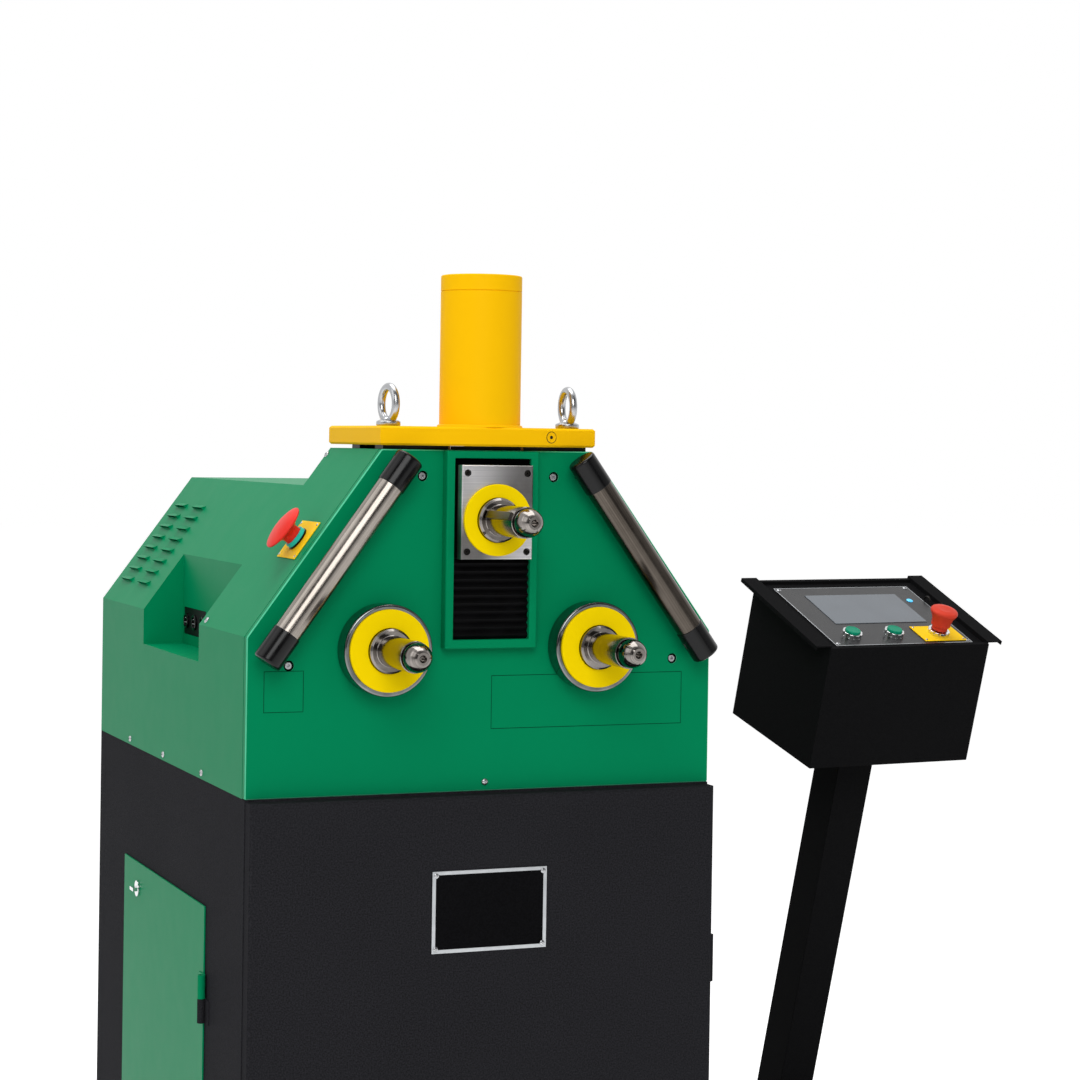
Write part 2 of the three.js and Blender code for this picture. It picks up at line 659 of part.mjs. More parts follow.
function buildElectrics() {
  const x1 = SIDE_X - CABINET_WALL - ELECTRICS_RIGHT_GAP;
  const x0 = x1 - ELECTRICS_WIDTH;
  const y1 = HOOD_DEPTH - CABINET_WALL;
  const y0 = y1 - ELECTRICS_DEPTH;
  const z1 = ELECTRICS_RISE + ELECTRICS_HEIGHT;
  const wall = ELECTRICS_WALL;
  const shell = box(x0, x1, y0, y1, ELECTRICS_RISE, z1);
  const inside = box(x0 + wall, x1 - wall, y0 + wall, y1 - wall, ELECTRICS_RISE + wall, z1 - wall);
  const gland = upright(rod(CABLE_HOLE_RADIUS, z1 - OVERRUN, z1 + OVERRUN)).translate((x0 + x1) / 2,
      (y0 + y1) / 2, 0);
  add(machine, 'electrics_box', cut(shell, inside, gland), LOOKS.castIron);
}

// Hood and front plate

function slopeX(z, inset) {
  return SIDE_X - inset / Math.sin(SLOPE_ANGLE) - (z - FOLD_RISE) / Math.tan(SLOPE_ANGLE);
}

// The hood's outline in X and Z, drawn in by an inset and cut off at a top and a base.
function hoodSection(inset, top, base) {
  const side = SIDE_X - inset;
  const fold = FOLD_RISE - inset * (1 - Math.sin(SLOPE_ANGLE)) / Math.cos(SLOPE_ANGLE);
  const x = slopeX(top, inset);
  return [[-side, base], [side, base], [side, fold], [x, top], [-x, top], [-side, fold]];
}

// Takes a shape drawn with X up the slope from the fold, Y to the back and Z out of the sheet,
// and lays it on the left slope, or mirrored on the right one.
function onSlope(geometry, side = -1) {
  geometry.rotateY(-SLOPE_ANGLE).translate(-SIDE_X, 0, FOLD_RISE);
  return side < 0 ? geometry : mirrored(geometry);
}

function mirrored(geometry) {
  const flipped = mergeVertices(geometry).scale(-1, 1, 1);
  const corners = flipped.index.array;
  for (let i = 0; i < corners.length; i += 3) {
    [corners[i], corners[i + 1]] = [corners[i + 1], corners[i]];
  }
  return flipped;
}

function louverPlaces() {
  const rows = Array.from({ length: LOUVER_ROWS }, (_, i) => LOUVER_FIRST + i * LOUVER_PITCH);
  return LOUVER_REAR_INSETS.flatMap((inset) => rows.map((along) => [along, HOOD_DEPTH - inset]));
}

function louverOutside([along, y]) {
  const points = [[0, -HOOD_SHEET / 2], [LOUVER_REACH, -HOOD_SHEET / 2], [0, LOUVER_STANDOUT]];
  return slabY(points, y - LOUVER_LENGTH / 2, y + LOUVER_LENGTH / 2).translate(along, 0, 0);
}

function louverInside([along, y]) {
  const mid = LOUVER_REACH / 2;
  const lip = LOUVER_SHEET / 2;
  const under = -2 * HOOD_SHEET;
  const roof = LOUVER_STANDOUT - LOUVER_SHEET;
  const points = [
    [-LOUVER_SHEET, lip], [lip, lip], [lip, under], [mid, under], [mid, lip], [0, roof],
    [-LOUVER_SHEET, roof],
  ];
  const half = LOUVER_LENGTH / 2 - LOUVER_SHEET;
  return slabY(points, y - half, y + half).translate(along, 0, 0);
}

// The hood as a solid block, drawn in by an inset: tall over the head, lower behind it.
function hoodBlock(inset, front, base) {
  const block = slabY(hoodSection(inset, HEAD_RISE - inset, base), front, HOOD_DEPTH - inset);
  const step = box(-SIDE_X - OVERRUN, SIDE_X + OVERRUN, HEAD_DEPTH - inset, HOOD_DEPTH + OVERRUN,
    REAR_RISE - inset, HEAD_RISE + OVERRUN);
  return cut(block, step);
}

function withLouvers(cover, side) {
  const raised = louverPlaces().map((at) => onSlope(louverOutside(at), side));
  const hollows = louverPlaces().map((at) => onSlope(louverInside(at), side));
  return cut(join(cover, ...raised), ...hollows);
}

function buildHood() {
  const outer = hoodBlock(0, FRONT_PLATE, 0);
  const inner = hoodBlock(HOOD_SHEET, FRONT_PLATE - OVERRUN, -OVERRUN);
  const neck = FRAME_NECK_HALF_WIDTH + FIT;
  const neckHole = box(-neck, neck, 0, FRAME_REAR + FIT, HEAD_RISE - OVERRUN, HEAD_RISE + OVERRUN);
  const all = [-OVERRUN, HOOD_DEPTH + OVERRUN, -OVERRUN, HEAD_RISE + OVERRUN];
  const leftSpace = box(-SIDE_X - OVERRUN, -SEAM / 2, ...all);
  const rightSpace = box(SEAM / 2, SIDE_X + OVERRUN, ...all);

  const back = POCKET_WALL_X - HOOD_SHEET;
  const lining = box(-SIDE_X - OVERRUN, -back, POCKET_FRONT - HOOD_SHEET, POCKET_REAR + HOOD_SHEET,
    POCKET_FLOOR - HOOD_SHEET, HEAD_RISE);
  const hollow = box(-SIDE_X - OVERRUN, -POCKET_WALL_X, POCKET_FRONT, POCKET_REAR, POCKET_FLOOR,
      HEAD_RISE);
  const socketHole = box(-POCKET_WALL_X - OVERRUN, OVERRUN - POCKET_WALL_X, SOCKET_FRONT, SOCKET_REAR,
    SOCKET_BASE, SOCKET_TOP);
  const stopHole = onSlope(upright(rod(STOP_BARREL_RADIUS + FIT, -OVERRUN, OVERRUN))
    .translate(SIDE_STOP_ALONG, SIDE_STOP_Y, 0));
  const left = cut(common(outer, leftSpace), cut(inner, lining), neckHole, hollow, socketHole, stopHole);
  const right = cut(common(outer, rightSpace), inner, neckHole);
  add(head, 'left_hood_cover', withLouvers(left, -1), LOOKS.green);
  add(head, 'right_hood_cover', withLouvers(right, 1), LOOKS.green);
}

function buildSocketBlock() {
  const wallBack = HOOD_SHEET - POCKET_WALL_X;
  const border = SOCKET_FLANGE_BORDER;
  const body = box(-POCKET_WALL_X, SOCKET_DEPTH - POCKET_WALL_X, SOCKET_FRONT + FIT, SOCKET_REAR - FIT,
    SOCKET_BASE + FIT, SOCKET_TOP - FIT);
  const flange = box(wallBack, wallBack + SOCKET_FLANGE, SOCKET_FRONT - border, SOCKET_REAR + border,
    SOCKET_BASE - border, SOCKET_TOP + border);
  add(head, 'socket_block', join(body, flange), LOOKS.rubber);
}

const plateScrews = [
  [-LOWER_SCREW_X, LOWER_SCREW_RISE], [LOWER_SCREW_X, LOWER_SCREW_RISE],
  [-UPPER_SCREW_X, UPPER_SCREW_RISE], [UPPER_SCREW_X, UPPER_SCREW_RISE],
];

function buildFrontPlate() {
  const outline = hoodSection(0, HEAD_RISE, 0);
  const plate = join(slabY(outline, 0, FRONT_PLATE, FRONT_PLATE_EDGE), slabY(outline,
      FRONT_PLATE_EDGE, FRONT_PLATE));
  const window = box(-WINDOW_HALF_WIDTH, WINDOW_HALF_WIDTH, -OVERRUN, FRONT_PLATE + OVERRUN,
      WINDOW_BASE, WINDOW_TOP);
  const bores = [-LOWER_ROLL_X, LOWER_ROLL_X].map((x) =>
    rod(HOUSING_RADIUS + FIT, -OVERRUN, FRONT_PLATE + OVERRUN).translate(x, 0, LOWER_ROLL_RISE));
  const screwHoles = plateScrews.map(([x, z]) => join(rod(COUNTERBORE_RADIUS, -OVERRUN,
      COUNTERBORE_DEPTH, SMALL),
    rod(SOCKET_SHANK_RADIUS + FIT, 0, FRONT_PLATE + OVERRUN, SMALL)).translate(x, 0, z));
  add(head, 'front_plate', cut(plate, window, ...bores, ...screwHoles), LOOKS.green);
}

function buildSlotFrame() {
  const x = WINDOW_HALF_WIDTH + SLOT_BORDER;
  const outline = rectangle(-x, x, WINDOW_BASE - SLOT_BASE_BORDER, WINDOW_TOP + SLOT_TOP_BORDER);
  const rim = join(slabY(outline, -SLOT_FRAME_DEPTH, 0, SLOT_FRAME_EDGE),
    slabY(outline, SLOT_FRAME_EDGE - SLOT_FRAME_DEPTH, 0));
  const window = box(-WINDOW_HALF_WIDTH, WINDOW_HALF_WIDTH, -SLOT_FRAME_DEPTH - OVERRUN, OVERRUN,
      WINDOW_BASE, WINDOW_TOP);
  add(head, 'slot_frame', cut(rim, window), LOOKS.green);
}

// Head frame and ram

function framePlate(halfWidth, y0, y1) {
  const [neck, slot] = [FRAME_NECK_HALF_WIDTH, SLOT_HALF_WIDTH];
  return slabY([
    [-halfWidth, 0], [halfWidth, 0], [halfWidth, FRAME_SHOULDER_RISE], [neck, FRAME_NECK_RISE], [neck,
    FRAME_TOP],
    [slot, FRAME_TOP], [slot, SLOT_BASE], [-slot, SLOT_BASE], [-slot, FRAME_TOP],
    [-neck, FRAME_TOP], [-neck, FRAME_NECK_RISE], [-halfWidth, FRAME_SHOULDER_RISE],
  ], y0, y1);
}

function buildHeadFrame() {
  const cheek = SLOT_HALF_WIDTH + FRAME_CHEEK;
  const body = join(
    framePlate(FRAME_HALF_WIDTH, FRONT_PLATE, FRAME_MID),
    framePlate(FRAME_REAR_HALF_WIDTH, FRAME_REAR_FRONT, FRAME_REAR),
    box(-cheek, -SLOT_HALF_WIDTH, FRAME_MID - FRAME_PLATE / 2, FRAME_REAR_FRONT + FRAME_PLATE / 2,
      FRAME_CHEEK_BASE, FRAME_TOP),
    box(SLOT_HALF_WIDTH, cheek, FRAME_MID - FRAME_PLATE / 2, FRAME_REAR_FRONT + FRAME_PLATE / 2,
      FRAME_CHEEK_BASE, FRAME_TOP),
    box(-FRAME_HALF_WIDTH, FRAME_HALF_WIDTH, FRONT_PLATE, FRONT_PLATE + FRAME_FLANGE_DEPTH, 0,
        FRAME_FLANGE),
  );
  const bores = [-LOWER_ROLL_X, LOWER_ROLL_X].flatMap((x) => [
    rod(HOUSING_SEAT_RADIUS + FIT, -OVERRUN, FRAME_MID + OVERRUN).translate(x, 0, LOWER_ROLL_RISE),
    rod(BEARING_RADIUS + FIT, FRAME_REAR_FRONT - OVERRUN, FRAME_REAR + OVERRUN).translate(x, 0,
        LOWER_ROLL_RISE),
  ]);
  const threads = plateScrews.map(([x, z]) =>
    rod(SOCKET_SHANK_RADIUS + FIT, 0, SOCKET_SHANK_END + FIT, SMALL).translate(x, 0, z));
  add(head, 'head_frame', cut(body, ...bores, ...threads), LOOKS.darkSteel);
}

// A bronze liner on both sides and the bottom of the slot.
function buildRamGuide() {
  const inner = RAM_HALF_WIDTH + FIT;
  const outer = SLOT_HALF_WIDTH - FIT;
  const base = SLOT_BASE + outer - inner;
  const outline = [
    [-outer, SLOT_BASE], [outer, SLOT_BASE], [outer, FRAME_TOP], [inner, FRAME_TOP],
    [inner, base], [-inner, base], [-inner, FRAME_TOP], [-outer, FRAME_TOP],
  ];
  add(head, 'ram_guide', slabY(outline, FRONT_PLATE, FRAME_REAR), LOOKS.bronze);
}

// The places of four screws near the corners of the ram's face plate.
function ramScrewPlaces() {
  const x = RAM_HALF_WIDTH - RAM_SCREW_INSET_X;
  const z = [RAM_BASE + RAM_SCREW_INSET_Z, RAM_TOP - RAM_SCREW_INSET_Z];
  return [[-x, z[0]], [x, z[0]], [-x, z[1]], [x, z[1]]];
}

function buildRam() {
  const x = RAM_HALF_WIDTH;
  const block = box(-x, x, -RAM_FRONT, RAM_REAR, RAM_BASE, RAM_TOP);
  const bearingBore = rod(BEARING_RADIUS + FIT, FRONT_BEARING_Y, RAM_REAR + OVERRUN).translate(0, 0,
      UPPER_ROLL_RISE);
  const shaftBore = rod(SHOULDER_RADIUS + RUNNING_FIT, -RAM_FACE_FRONT - OVERRUN,
      FRONT_BEARING_Y + OVERRUN)
    .translate(0, 0, UPPER_ROLL_RISE);
  const rodSeat = upright(rod(ROD_SEAT_RADIUS + FIT, RAM_TOP - ROD_SEAT_DEPTH, RAM_TOP + OVERRUN))
    .translate(0, CYLINDER_Y, 0);
  const threads = ramScrewPlaces().map(([sx, sz]) =>
    rod(RAM_SHANK_RADIUS + FIT, -RAM_FACE_FRONT, RAM_SHANK_END + FIT - RAM_FRONT, SMALL).translate(sx,
        0, sz));
  add(head, 'ram_block', cut(block, bearingBore, shaftBore, rodSeat, ...threads), LOOKS.darkSteel);

  const outline = rectangle(-x, x, RAM_BASE, RAM_TOP);
  const face = join(slabY(outline, -RAM_FACE_FRONT, -RAM_FRONT, RAM_FACE_EDGE),
    slabY(outline, RAM_FACE_EDGE - RAM_FACE_FRONT, -RAM_FRONT));
  const screwHoles = ramScrewPlaces().map(([sx, sz]) => join(
    rod(RAM_HEAD_RADIUS + FIT, -RAM_FACE_FRONT - OVERRUN, RAM_HEAD_DEPTH - RAM_FACE_FRONT, SMALL),
    rod(RAM_SHANK_RADIUS + FIT, -RAM_FACE_FRONT, OVERRUN, SMALL)).translate(sx, 0, sz));
  add(head, 'ram_face_plate', cut(face, shaftBore, ...screwHoles), LOOKS.steel);
}

// Folds of fabric across the window: a zigzag in Y and Z, with its back a fabric's thickness behind.
function bellows(z0, z1, folds) {
  const pitch = (z1 - z0) / folds;
  const front = [];
  const back = [];
  for (let i = 0; i < folds; i += 1) {
    front.push([BELLOWS_FOLD - BELLOWS_FRONT, z0 + i * pitch], [-BELLOWS_FRONT, z0 + (i + 0.5) * pitch]);
    back.push([BELLOWS_FOLD + BELLOWS_FABRIC - BELLOWS_FRONT, z0 + i * pitch],
      [BELLOWS_FABRIC - BELLOWS_FRONT, z0 + (i + 0.5) * pitch]);
  }
  front.push([BELLOWS_FOLD - BELLOWS_FRONT, z1]);
  back.push([BELLOWS_FOLD + BELLOWS_FABRIC - BELLOWS_FRONT, z1]);
  return slabX([...back, ...front.reverse()], FIT - WINDOW_HALF_WIDTH, WINDOW_HALF_WIDTH - FIT);
}

function buildBellows() {
  add(head, 'lower_bellows', bellows(WINDOW_BASE + FIT, RAM_BASE - FIT, LOWER_BELLOWS_FOLDS),
      LOOKS.rubber);
  add(head, 'upper_bellows', bellows(RAM_TOP + FIT, WINDOW_TOP - FIT, UPPER_BELLOWS_FOLDS), LOOKS.rubber);
}

// Top plate, cylinder and lifting eyes

function eyePlaces() {
  return [[-EYE_X, EYE_Y], [EYE_X, EYE_Y]];
}

function buildTopPlate() {
  const outline = [
    [-TOP_PLATE_HALF_WIDTH, 0], [-TOP_PLATE_BOW_HALF_WIDTH, -TOP_PLATE_BOW],
    [TOP_PLATE_BOW_HALF_WIDTH, -TOP_PLATE_BOW], [TOP_PLATE_HALF_WIDTH, 0],
    [TOP_PLATE_HALF_WIDTH, TOP_PLATE_DEPTH], [-TOP_PLATE_HALF_WIDTH, TOP_PLATE_DEPTH],
  ];
  const plate = slabZ(outline, FRAME_TOP, PLATE_TOP, TOP_PLATE_EDGE);
  const rodHole = upright(rod(ROD_RADIUS + FIT, FRAME_TOP - OVERRUN,
      PLATE_TOP + OVERRUN)).translate(0, CYLINDER_Y, 0);
  const eyeHoles = eyePlaces().map(([x, y]) =>
    upright(rod(EYE_SHANK_RADIUS + FIT, PLATE_TOP - EYE_SHANK_LENGTH - FIT, PLATE_TOP + OVERRUN,
        SMALL)).translate(x, y, 0));
  add(head, 'top_plate', cut(plate, rodHole, ...eyeHoles), LOOKS.yellow);
}

function buildCylinder() {
  const tubeTop = CYLINDER_TOP - CYLINDER_CAP;
  const capBase = tubeTop + CAP_GROOVE;
  const rodBore = ROD_RADIUS + FIT;
  const barrel = upright(turned([
    [rodBore, PLATE_TOP], [CYLINDER_RADIUS, PLATE_TOP], [CYLINDER_RADIUS, tubeTop], [CYLINDER_BORE,
    tubeTop],
    [CYLINDER_BORE, PLATE_TOP + CYLINDER_FLOOR], [rodBore, PLATE_TOP + CYLINDER_FLOOR], [rodBore,
    PLATE_TOP],
  ]));
  add(head, 'cylinder_tube', barrel.translate(0, CYLINDER_Y, 0), LOOKS.yellow);

  const spigot = CYLINDER_BORE - FIT;
  const neck = CYLINDER_RADIUS - CYLINDER_EDGE;
  const cap = upright(turned([
    [0, tubeTop - CAP_SPIGOT], [spigot, tubeTop - CAP_SPIGOT], [spigot, tubeTop], [neck, tubeTop],
    [neck, capBase],
    [CYLINDER_RADIUS, capBase], [CYLINDER_RADIUS, CYLINDER_TOP - CYLINDER_EDGE], [neck, CYLINDER_TOP],
    [0, CYLINDER_TOP],
  ]));
  add(head, 'cylinder_cap', cap.translate(0, CYLINDER_Y, 0), LOOKS.yellow);

  const pistonTop = tubeTop - CAP_SPIGOT - PISTON_TOP_GAP;
  const pistonBase = pistonTop - PISTON_HEIGHT;
  const piston = upright(turned([
    [0, RAM_TOP - ROD_SEAT_DEPTH], [ROD_SEAT_RADIUS, RAM_TOP - ROD_SEAT_DEPTH], [ROD_SEAT_RADIUS,
    RAM_TOP],
    [ROD_RADIUS, RAM_TOP], [ROD_RADIUS, pistonBase], [spigot, pistonBase], [spigot, pistonTop], [0,
    pistonTop],
  ]));
  add(head, 'piston_rod', piston.translate(0, CYLINDER_Y, 0), LOOKS.chrome);
}

function buildEyeBolts() {
  const ringZ = EYE_HEIGHT - EYE_RING_RADIUS - EYE_WIRE_RADIUS;
  eyePlaces().forEach(([x, y], i) => {
    const ring = new THREE.TorusGeometry(EYE_RING_RADIUS, EYE_WIRE_RADIUS, SMALL / 2,
        ROUND).rotateY(Math.PI / 2)
      .rotateZ(EYE_TURNS[i]).translate(0, 0, ringZ);
    const collar = upright(turned([
      [0, -EYE_SHANK_LENGTH], [EYE_SHANK_RADIUS, -EYE_SHANK_LENGTH], [EYE_SHANK_RADIUS, 0],
      [EYE_COLLAR_RADIUS, 0],
      [EYE_COLLAR_RADIUS, EYE_COLLAR_HEIGHT / 2], [EYE_SHANK_RADIUS, EYE_COLLAR_HEIGHT], [0,
      EYE_COLLAR_HEIGHT],
    ], SMALL));
    const name = x < 0 ? 'left_eye_bolt' : 'right_eye_bolt';
    add(head, name, join(ring, collar).translate(x, y, PLATE_TOP), LOOKS.zinc);
  });
}

// Rolls

function shaftProfile() {
  return [
    [0, CENTRE_DEPTH - TIP_END], [CENTRE_RADIUS, CENTRE_DEPTH - TIP_END], [CENTRE_RADIUS, -TIP_END],
    [TIP_RADIUS, -TIP_END], [(TIP_RADIUS + NOSE_RADIUS) / 2, (-TIP_END - TIP_END - NOSE_END) / 3],
    [NOSE_RADIUS, -NOSE_END], [NOSE_RADIUS, -GROOVE_END], [GROOVE_RADIUS, -GROOVE_END],
    [GROOVE_RADIUS, -GROOVE_START], [SEAT_RADIUS, -GROOVE_START], [SEAT_RADIUS, -SHOULDER_FRONT],
    [SHOULDER_RADIUS - SHOULDER_EDGE, -SHOULDER_FRONT], [SHOULDER_RADIUS, SHOULDER_EDGE - SHOULDER_FRONT],
    [SHOULDER_RADIUS, -SHOULDER_REAR], [JOURNAL_RADIUS, -SHOULDER_REAR], [JOURNAL_RADIUS, JOURNAL_END],
    [0, JOURNAL_END],
  ];
}

// A key, turned about the shaft from its top by so many degrees to the right.
function keyBox(turn, margin) {
  const top = SEAT_RADIUS + KEY_STANDOUT;
  const half = KEY_WIDTH / 2 + margin;
  const key = box(-half, half, KEY_MARGIN - GROOVE_START - margin, -SHOULDER_FRONT - KEY_MARGIN + margin,
    top - KEY_HEIGHT - margin, top + margin);
  return key.rotateY(THREE.MathUtils.degToRad(turn));
}

function ringAt(x, z, inner, outer, y0, y1, edge = 0) {
  const profile = [[inner, y0], [outer - edge, y0], [outer, y0 + edge], [outer, y1], [inner, y1],
      [inner, y0]];
  return turned(profile).translate(x, 0, z);
}

function discRing(x, z, radius) {
  return ringAt(x, z, SHOULDER_RADIUS + RUNNING_FIT, radius, -HOUSING_FRONT - DISC_THICKNESS,
      -HOUSING_FRONT, DISC_EDGE);
}

// Two bearings and the spacer tube between them.
function bearingSet(x, z) {
  const inner = JOURNAL_RADIUS + FIT;
  const rear = REAR_BEARING_Y + BEARING_WIDTH;
  return join(
    ringAt(x, z, inner, BEARING_RADIUS, FRONT_BEARING_Y, FRONT_BEARING_Y + BEARING_WIDTH),
    ringAt(x, z, inner, inner + SPACER_WALL, FRONT_BEARING_Y, rear),
    ringAt(x, z, inner, BEARING_RADIUS, REAR_BEARING_Y, rear),
  );
}

function housing(x, z) {
  return turned([
    [SHOULDER_RADIUS + RUNNING_FIT, -HOUSING_FRONT], [HOUSING_RADIUS - HOUSING_EDGE, -HOUSING_FRONT],
    [HOUSING_RADIUS, HOUSING_EDGE - HOUSING_FRONT], [HOUSING_RADIUS, FRONT_PLATE],
    [HOUSING_SEAT_RADIUS, FRONT_PLATE], [HOUSING_SEAT_RADIUS, FRAME_MID], [BEARING_RADIUS + FIT,
    FRAME_MID],
    [BEARING_RADIUS + FIT, FRONT_BEARING_Y], [SHOULDER_RADIUS + RUNNING_FIT, FRONT_BEARING_Y],
    [SHOULDER_RADIUS + RUNNING_FIT, -HOUSING_FRONT],
  ]).translate(x, 0, z);
}

function drive(x, z, start, { gearRadius, gearLength, motorRadius, motorLength }) {
  const bore = JOURNAL_RADIUS + FIT;
  const boreEnd = start + DRIVE_BORE_DEPTH;
  const gearEnd = start + gearLength;
  const motorEnd = gearEnd + motorLength;
  return turned([
    [0, boreEnd], [bore, boreEnd], [bore, start], [gearRadius, start], [gearRadius, gearEnd - DRIVE_EDGE],
    [gearRadius - DRIVE_EDGE, gearEnd], [motorRadius, gearEnd], [motorRadius, motorEnd - DRIVE_EDGE],
    [motorRadius - DRIVE_EDGE, motorEnd], [0, motorEnd],
  ]).translate(x, 0, z);
}

function buildRolls() {
  const rolls = [
    ['lower_left', -LOWER_ROLL_X, LOWER_ROLL_RISE], ['lower_right', LOWER_ROLL_X, LOWER_ROLL_RISE],
    ['upper', 0, UPPER_ROLL_RISE],
  ];
  for (const [name, x, z] of rolls) {
    const upper = name === 'upper';
    const turn = upper ? UPPER_KEY_TURN : LOWER_KEY_TURN;
    const shaft = cut(turned(shaftProfile()), keyBox(turn, FIT));
    add(head, `${name}_roll_shaft`, shaft.translate(x, 0, z), LOOKS.steel);
    add(head, `${name}_roll_key`, keyBox(turn, 0).translate(x, 0, z), LOOKS.darkSteel);
    add(head, `${name}_bearings`, bearingSet(x, z), LOOKS.steel);
    add(head, `${name}_cover_disc`, discRing(x, z, upper ? UPPER_DISC_RADIUS : LOWER_DISC_RADIUS),
        LOOKS.discYellow);
    if (upper) {
      add(head, 'upper_roll_drive', drive(x, z, RAM_REAR, UPPER_DRIVE), LOOKS.castIron);
    } else {
      add(head, `${name}_bearing_housing`, housing(x, z), LOOKS.steel);
      add(head, `${name}_roll_drive`, drive(x, z, FRAME_REAR, LOWER_DRIVE), LOOKS.castIron);
    }
  }
}

// Bars across the front plate

// Lays a shape drawn along +Z from the lower end of the left bar along that bar, or its mirror image.
function alongBar(geometry, side) {
  const angle = Math.atan2(BAR_LOWER_X - BAR_UPPER_X, BAR_UPPER_RISE - BAR_LOWER_RISE);
  geometry.rotateY(angle).translate(-BAR_LOWER_X, 0, BAR_LOWER_RISE);
  return side < 0 ? geometry : mirrored(geometry);
}

// A steel bar between two closed sleeves, each on a foot.
function buildFaceBars() {
  const length = Math.hypot(BAR_LOWER_X - BAR_UPPER_X, BAR_UPPER_RISE - BAR_LOWER_RISE);
  for (const side of [-1, 1]) {
    const sleeve = SLEEVE_LENGTH;
    const profile = [
      [0, 0], [SLEEVE_RADIUS - SLEEVE_EDGE, 0], [SLEEVE_RADIUS, SLEEVE_EDGE], [SLEEVE_RADIUS, sleeve],
      [BAR_RADIUS, sleeve], [BAR_RADIUS, length - sleeve], [SLEEVE_RADIUS, length - sleeve],
      [SLEEVE_RADIUS, length - SLEEVE_EDGE], [SLEEVE_RADIUS - SLEEVE_EDGE, length], [0, length],
    ];
    const bar = upright(turned(profile)).translate(0, -BAR_STANDOFF, 0);
    const feet = [sleeve / 2, length - sleeve / 2].map((along) =>
      rod(BAR_FOOT_RADIUS, -BAR_STANDOFF, 0, SMALL).translate(0, 0, along));
    add(head, side < 0 ? 'left_face_bar' : 'right_face_bar', alongBar(join(bar, ...feet), side),
        LOOKS.steel);
  }
}

// Stop buttons, drawn on a surface at Z = 0

function stopBody(collarRadius) {
  const top = STOP_START + STOP_COLLAR_HEIGHT;
  const floor = STOP_START + STOP_COLLAR_FLOOR;
  const step = STOP_START + STOP_BASE_HEIGHT;
  const collar = upright(turned([
    [0, -STOP_BARREL_LENGTH], [STOP_BARREL_RADIUS, -STOP_BARREL_LENGTH], [STOP_BARREL_RADIUS, STOP_START],
    [collarRadius, STOP_START], [collarRadius, step], [collarRadius - STOP_COLLAR_STEP, step],
    [collarRadius - STOP_COLLAR_STEP, top], [STOP_NECK_RADIUS + RUNNING_FIT, top],
    [STOP_NECK_RADIUS + RUNNING_FIT, floor], [0, floor],
  ]));
  const half = STOP_BLOCK_SIZE / 2;
  const blockTop = -STOP_BARREL_LENGTH / 2;
  const block = box(-half, half, -half, half, blockTop - STOP_BLOCK_LENGTH, blockTop);
  const bore = upright(rod(STOP_STEM_RADIUS + FIT, blockTop - STOP_TRAVEL_ROOM - STOP_BARREL_LENGTH,
      top, SMALL));
  return cut(join(collar, block), bore);
}

function stopHead(outsideProfile) {
  const neckBase = STOP_START + STOP_COLLAR_HEIGHT - STOP_NECK_SINK;
  const bore = STOP_STEM_RADIUS + FIT;
  const profile = [
    [0, neckBase + STOP_STEM_SINK + FIT], [bore, neckBase + STOP_STEM_SINK + FIT], [bore, neckBase],
    [STOP_NECK_RADIUS, neckBase], ...outsideProfile,
  ];
  return upright(turned(profile));
}

function buildStop(parent, prefix, plateSize, collarRadius, collarLook, outsideProfile) {
  const [x, y] = plateSize.map((size) => size / 2);
  const plate = cut(box(-x, x, -y, y, FIT, FIT + STOP_PLATE),
    upright(rod(STOP_BARREL_RADIUS + FIT, -OVERRUN, OVERRUN)));
  const neckBase = STOP_START + STOP_COLLAR_HEIGHT - STOP_NECK_SINK;
  const stem = upright(rod(STOP_STEM_RADIUS, -STOP_BARREL_LENGTH, neckBase + STOP_STEM_SINK, SMALL));
  add(parent, `${prefix}_plate`, plate, LOOKS.yellow);
  add(parent, `${prefix}_body`, stopBody(collarRadius), collarLook);
  add(parent, `${prefix}_stem`, stem, LOOKS.darkSteel);
  add(parent, `${prefix}_head`, stopHead(outsideProfile), LOOKS.red);
}

function buildSideStop() {
  const slope = place(head, -SIDE_X, 0, FOLD_RISE);
  slope.rotation.y = -SLOPE_ANGLE;
  const [r, base] = [SIDE_STOP_HEAD_RADIUS, FIT + STOP_PLATE];
  const rim = base + SIDE_STOP_RIM;
  const top = base + SIDE_STOP_TOP;
  const rise = top - rim;
  buildStop(place(slope, SIDE_STOP_ALONG, SIDE_STOP_Y, 0), 'side_stop', SIDE_STOP_PLATE,
    SIDE_STOP_COLLAR_RADIUS, LOOKS.turquoise, [
      [STOP_NECK_RADIUS, base + SIDE_STOP_WAIST], [r * 0.88, rim], [r, rim + rise * 0.2],
      [r, rim + rise * 0.4], [r * 0.9, rim + rise * 0.66], [r * 0.6, rim + rise * 0.9], [0, top],
    ]);
}

// Console

const consoleBase = place(machine, CONSOLE_X, CONSOLE_Y + HOOD_DEPTH / 2, 0);
consoleBase.rotation.z = CONSOLE_YAW;
const consoleTilt = place(consoleBase, 0, 0, 0);
consoleTilt.rotation.x = POST_LEAN;

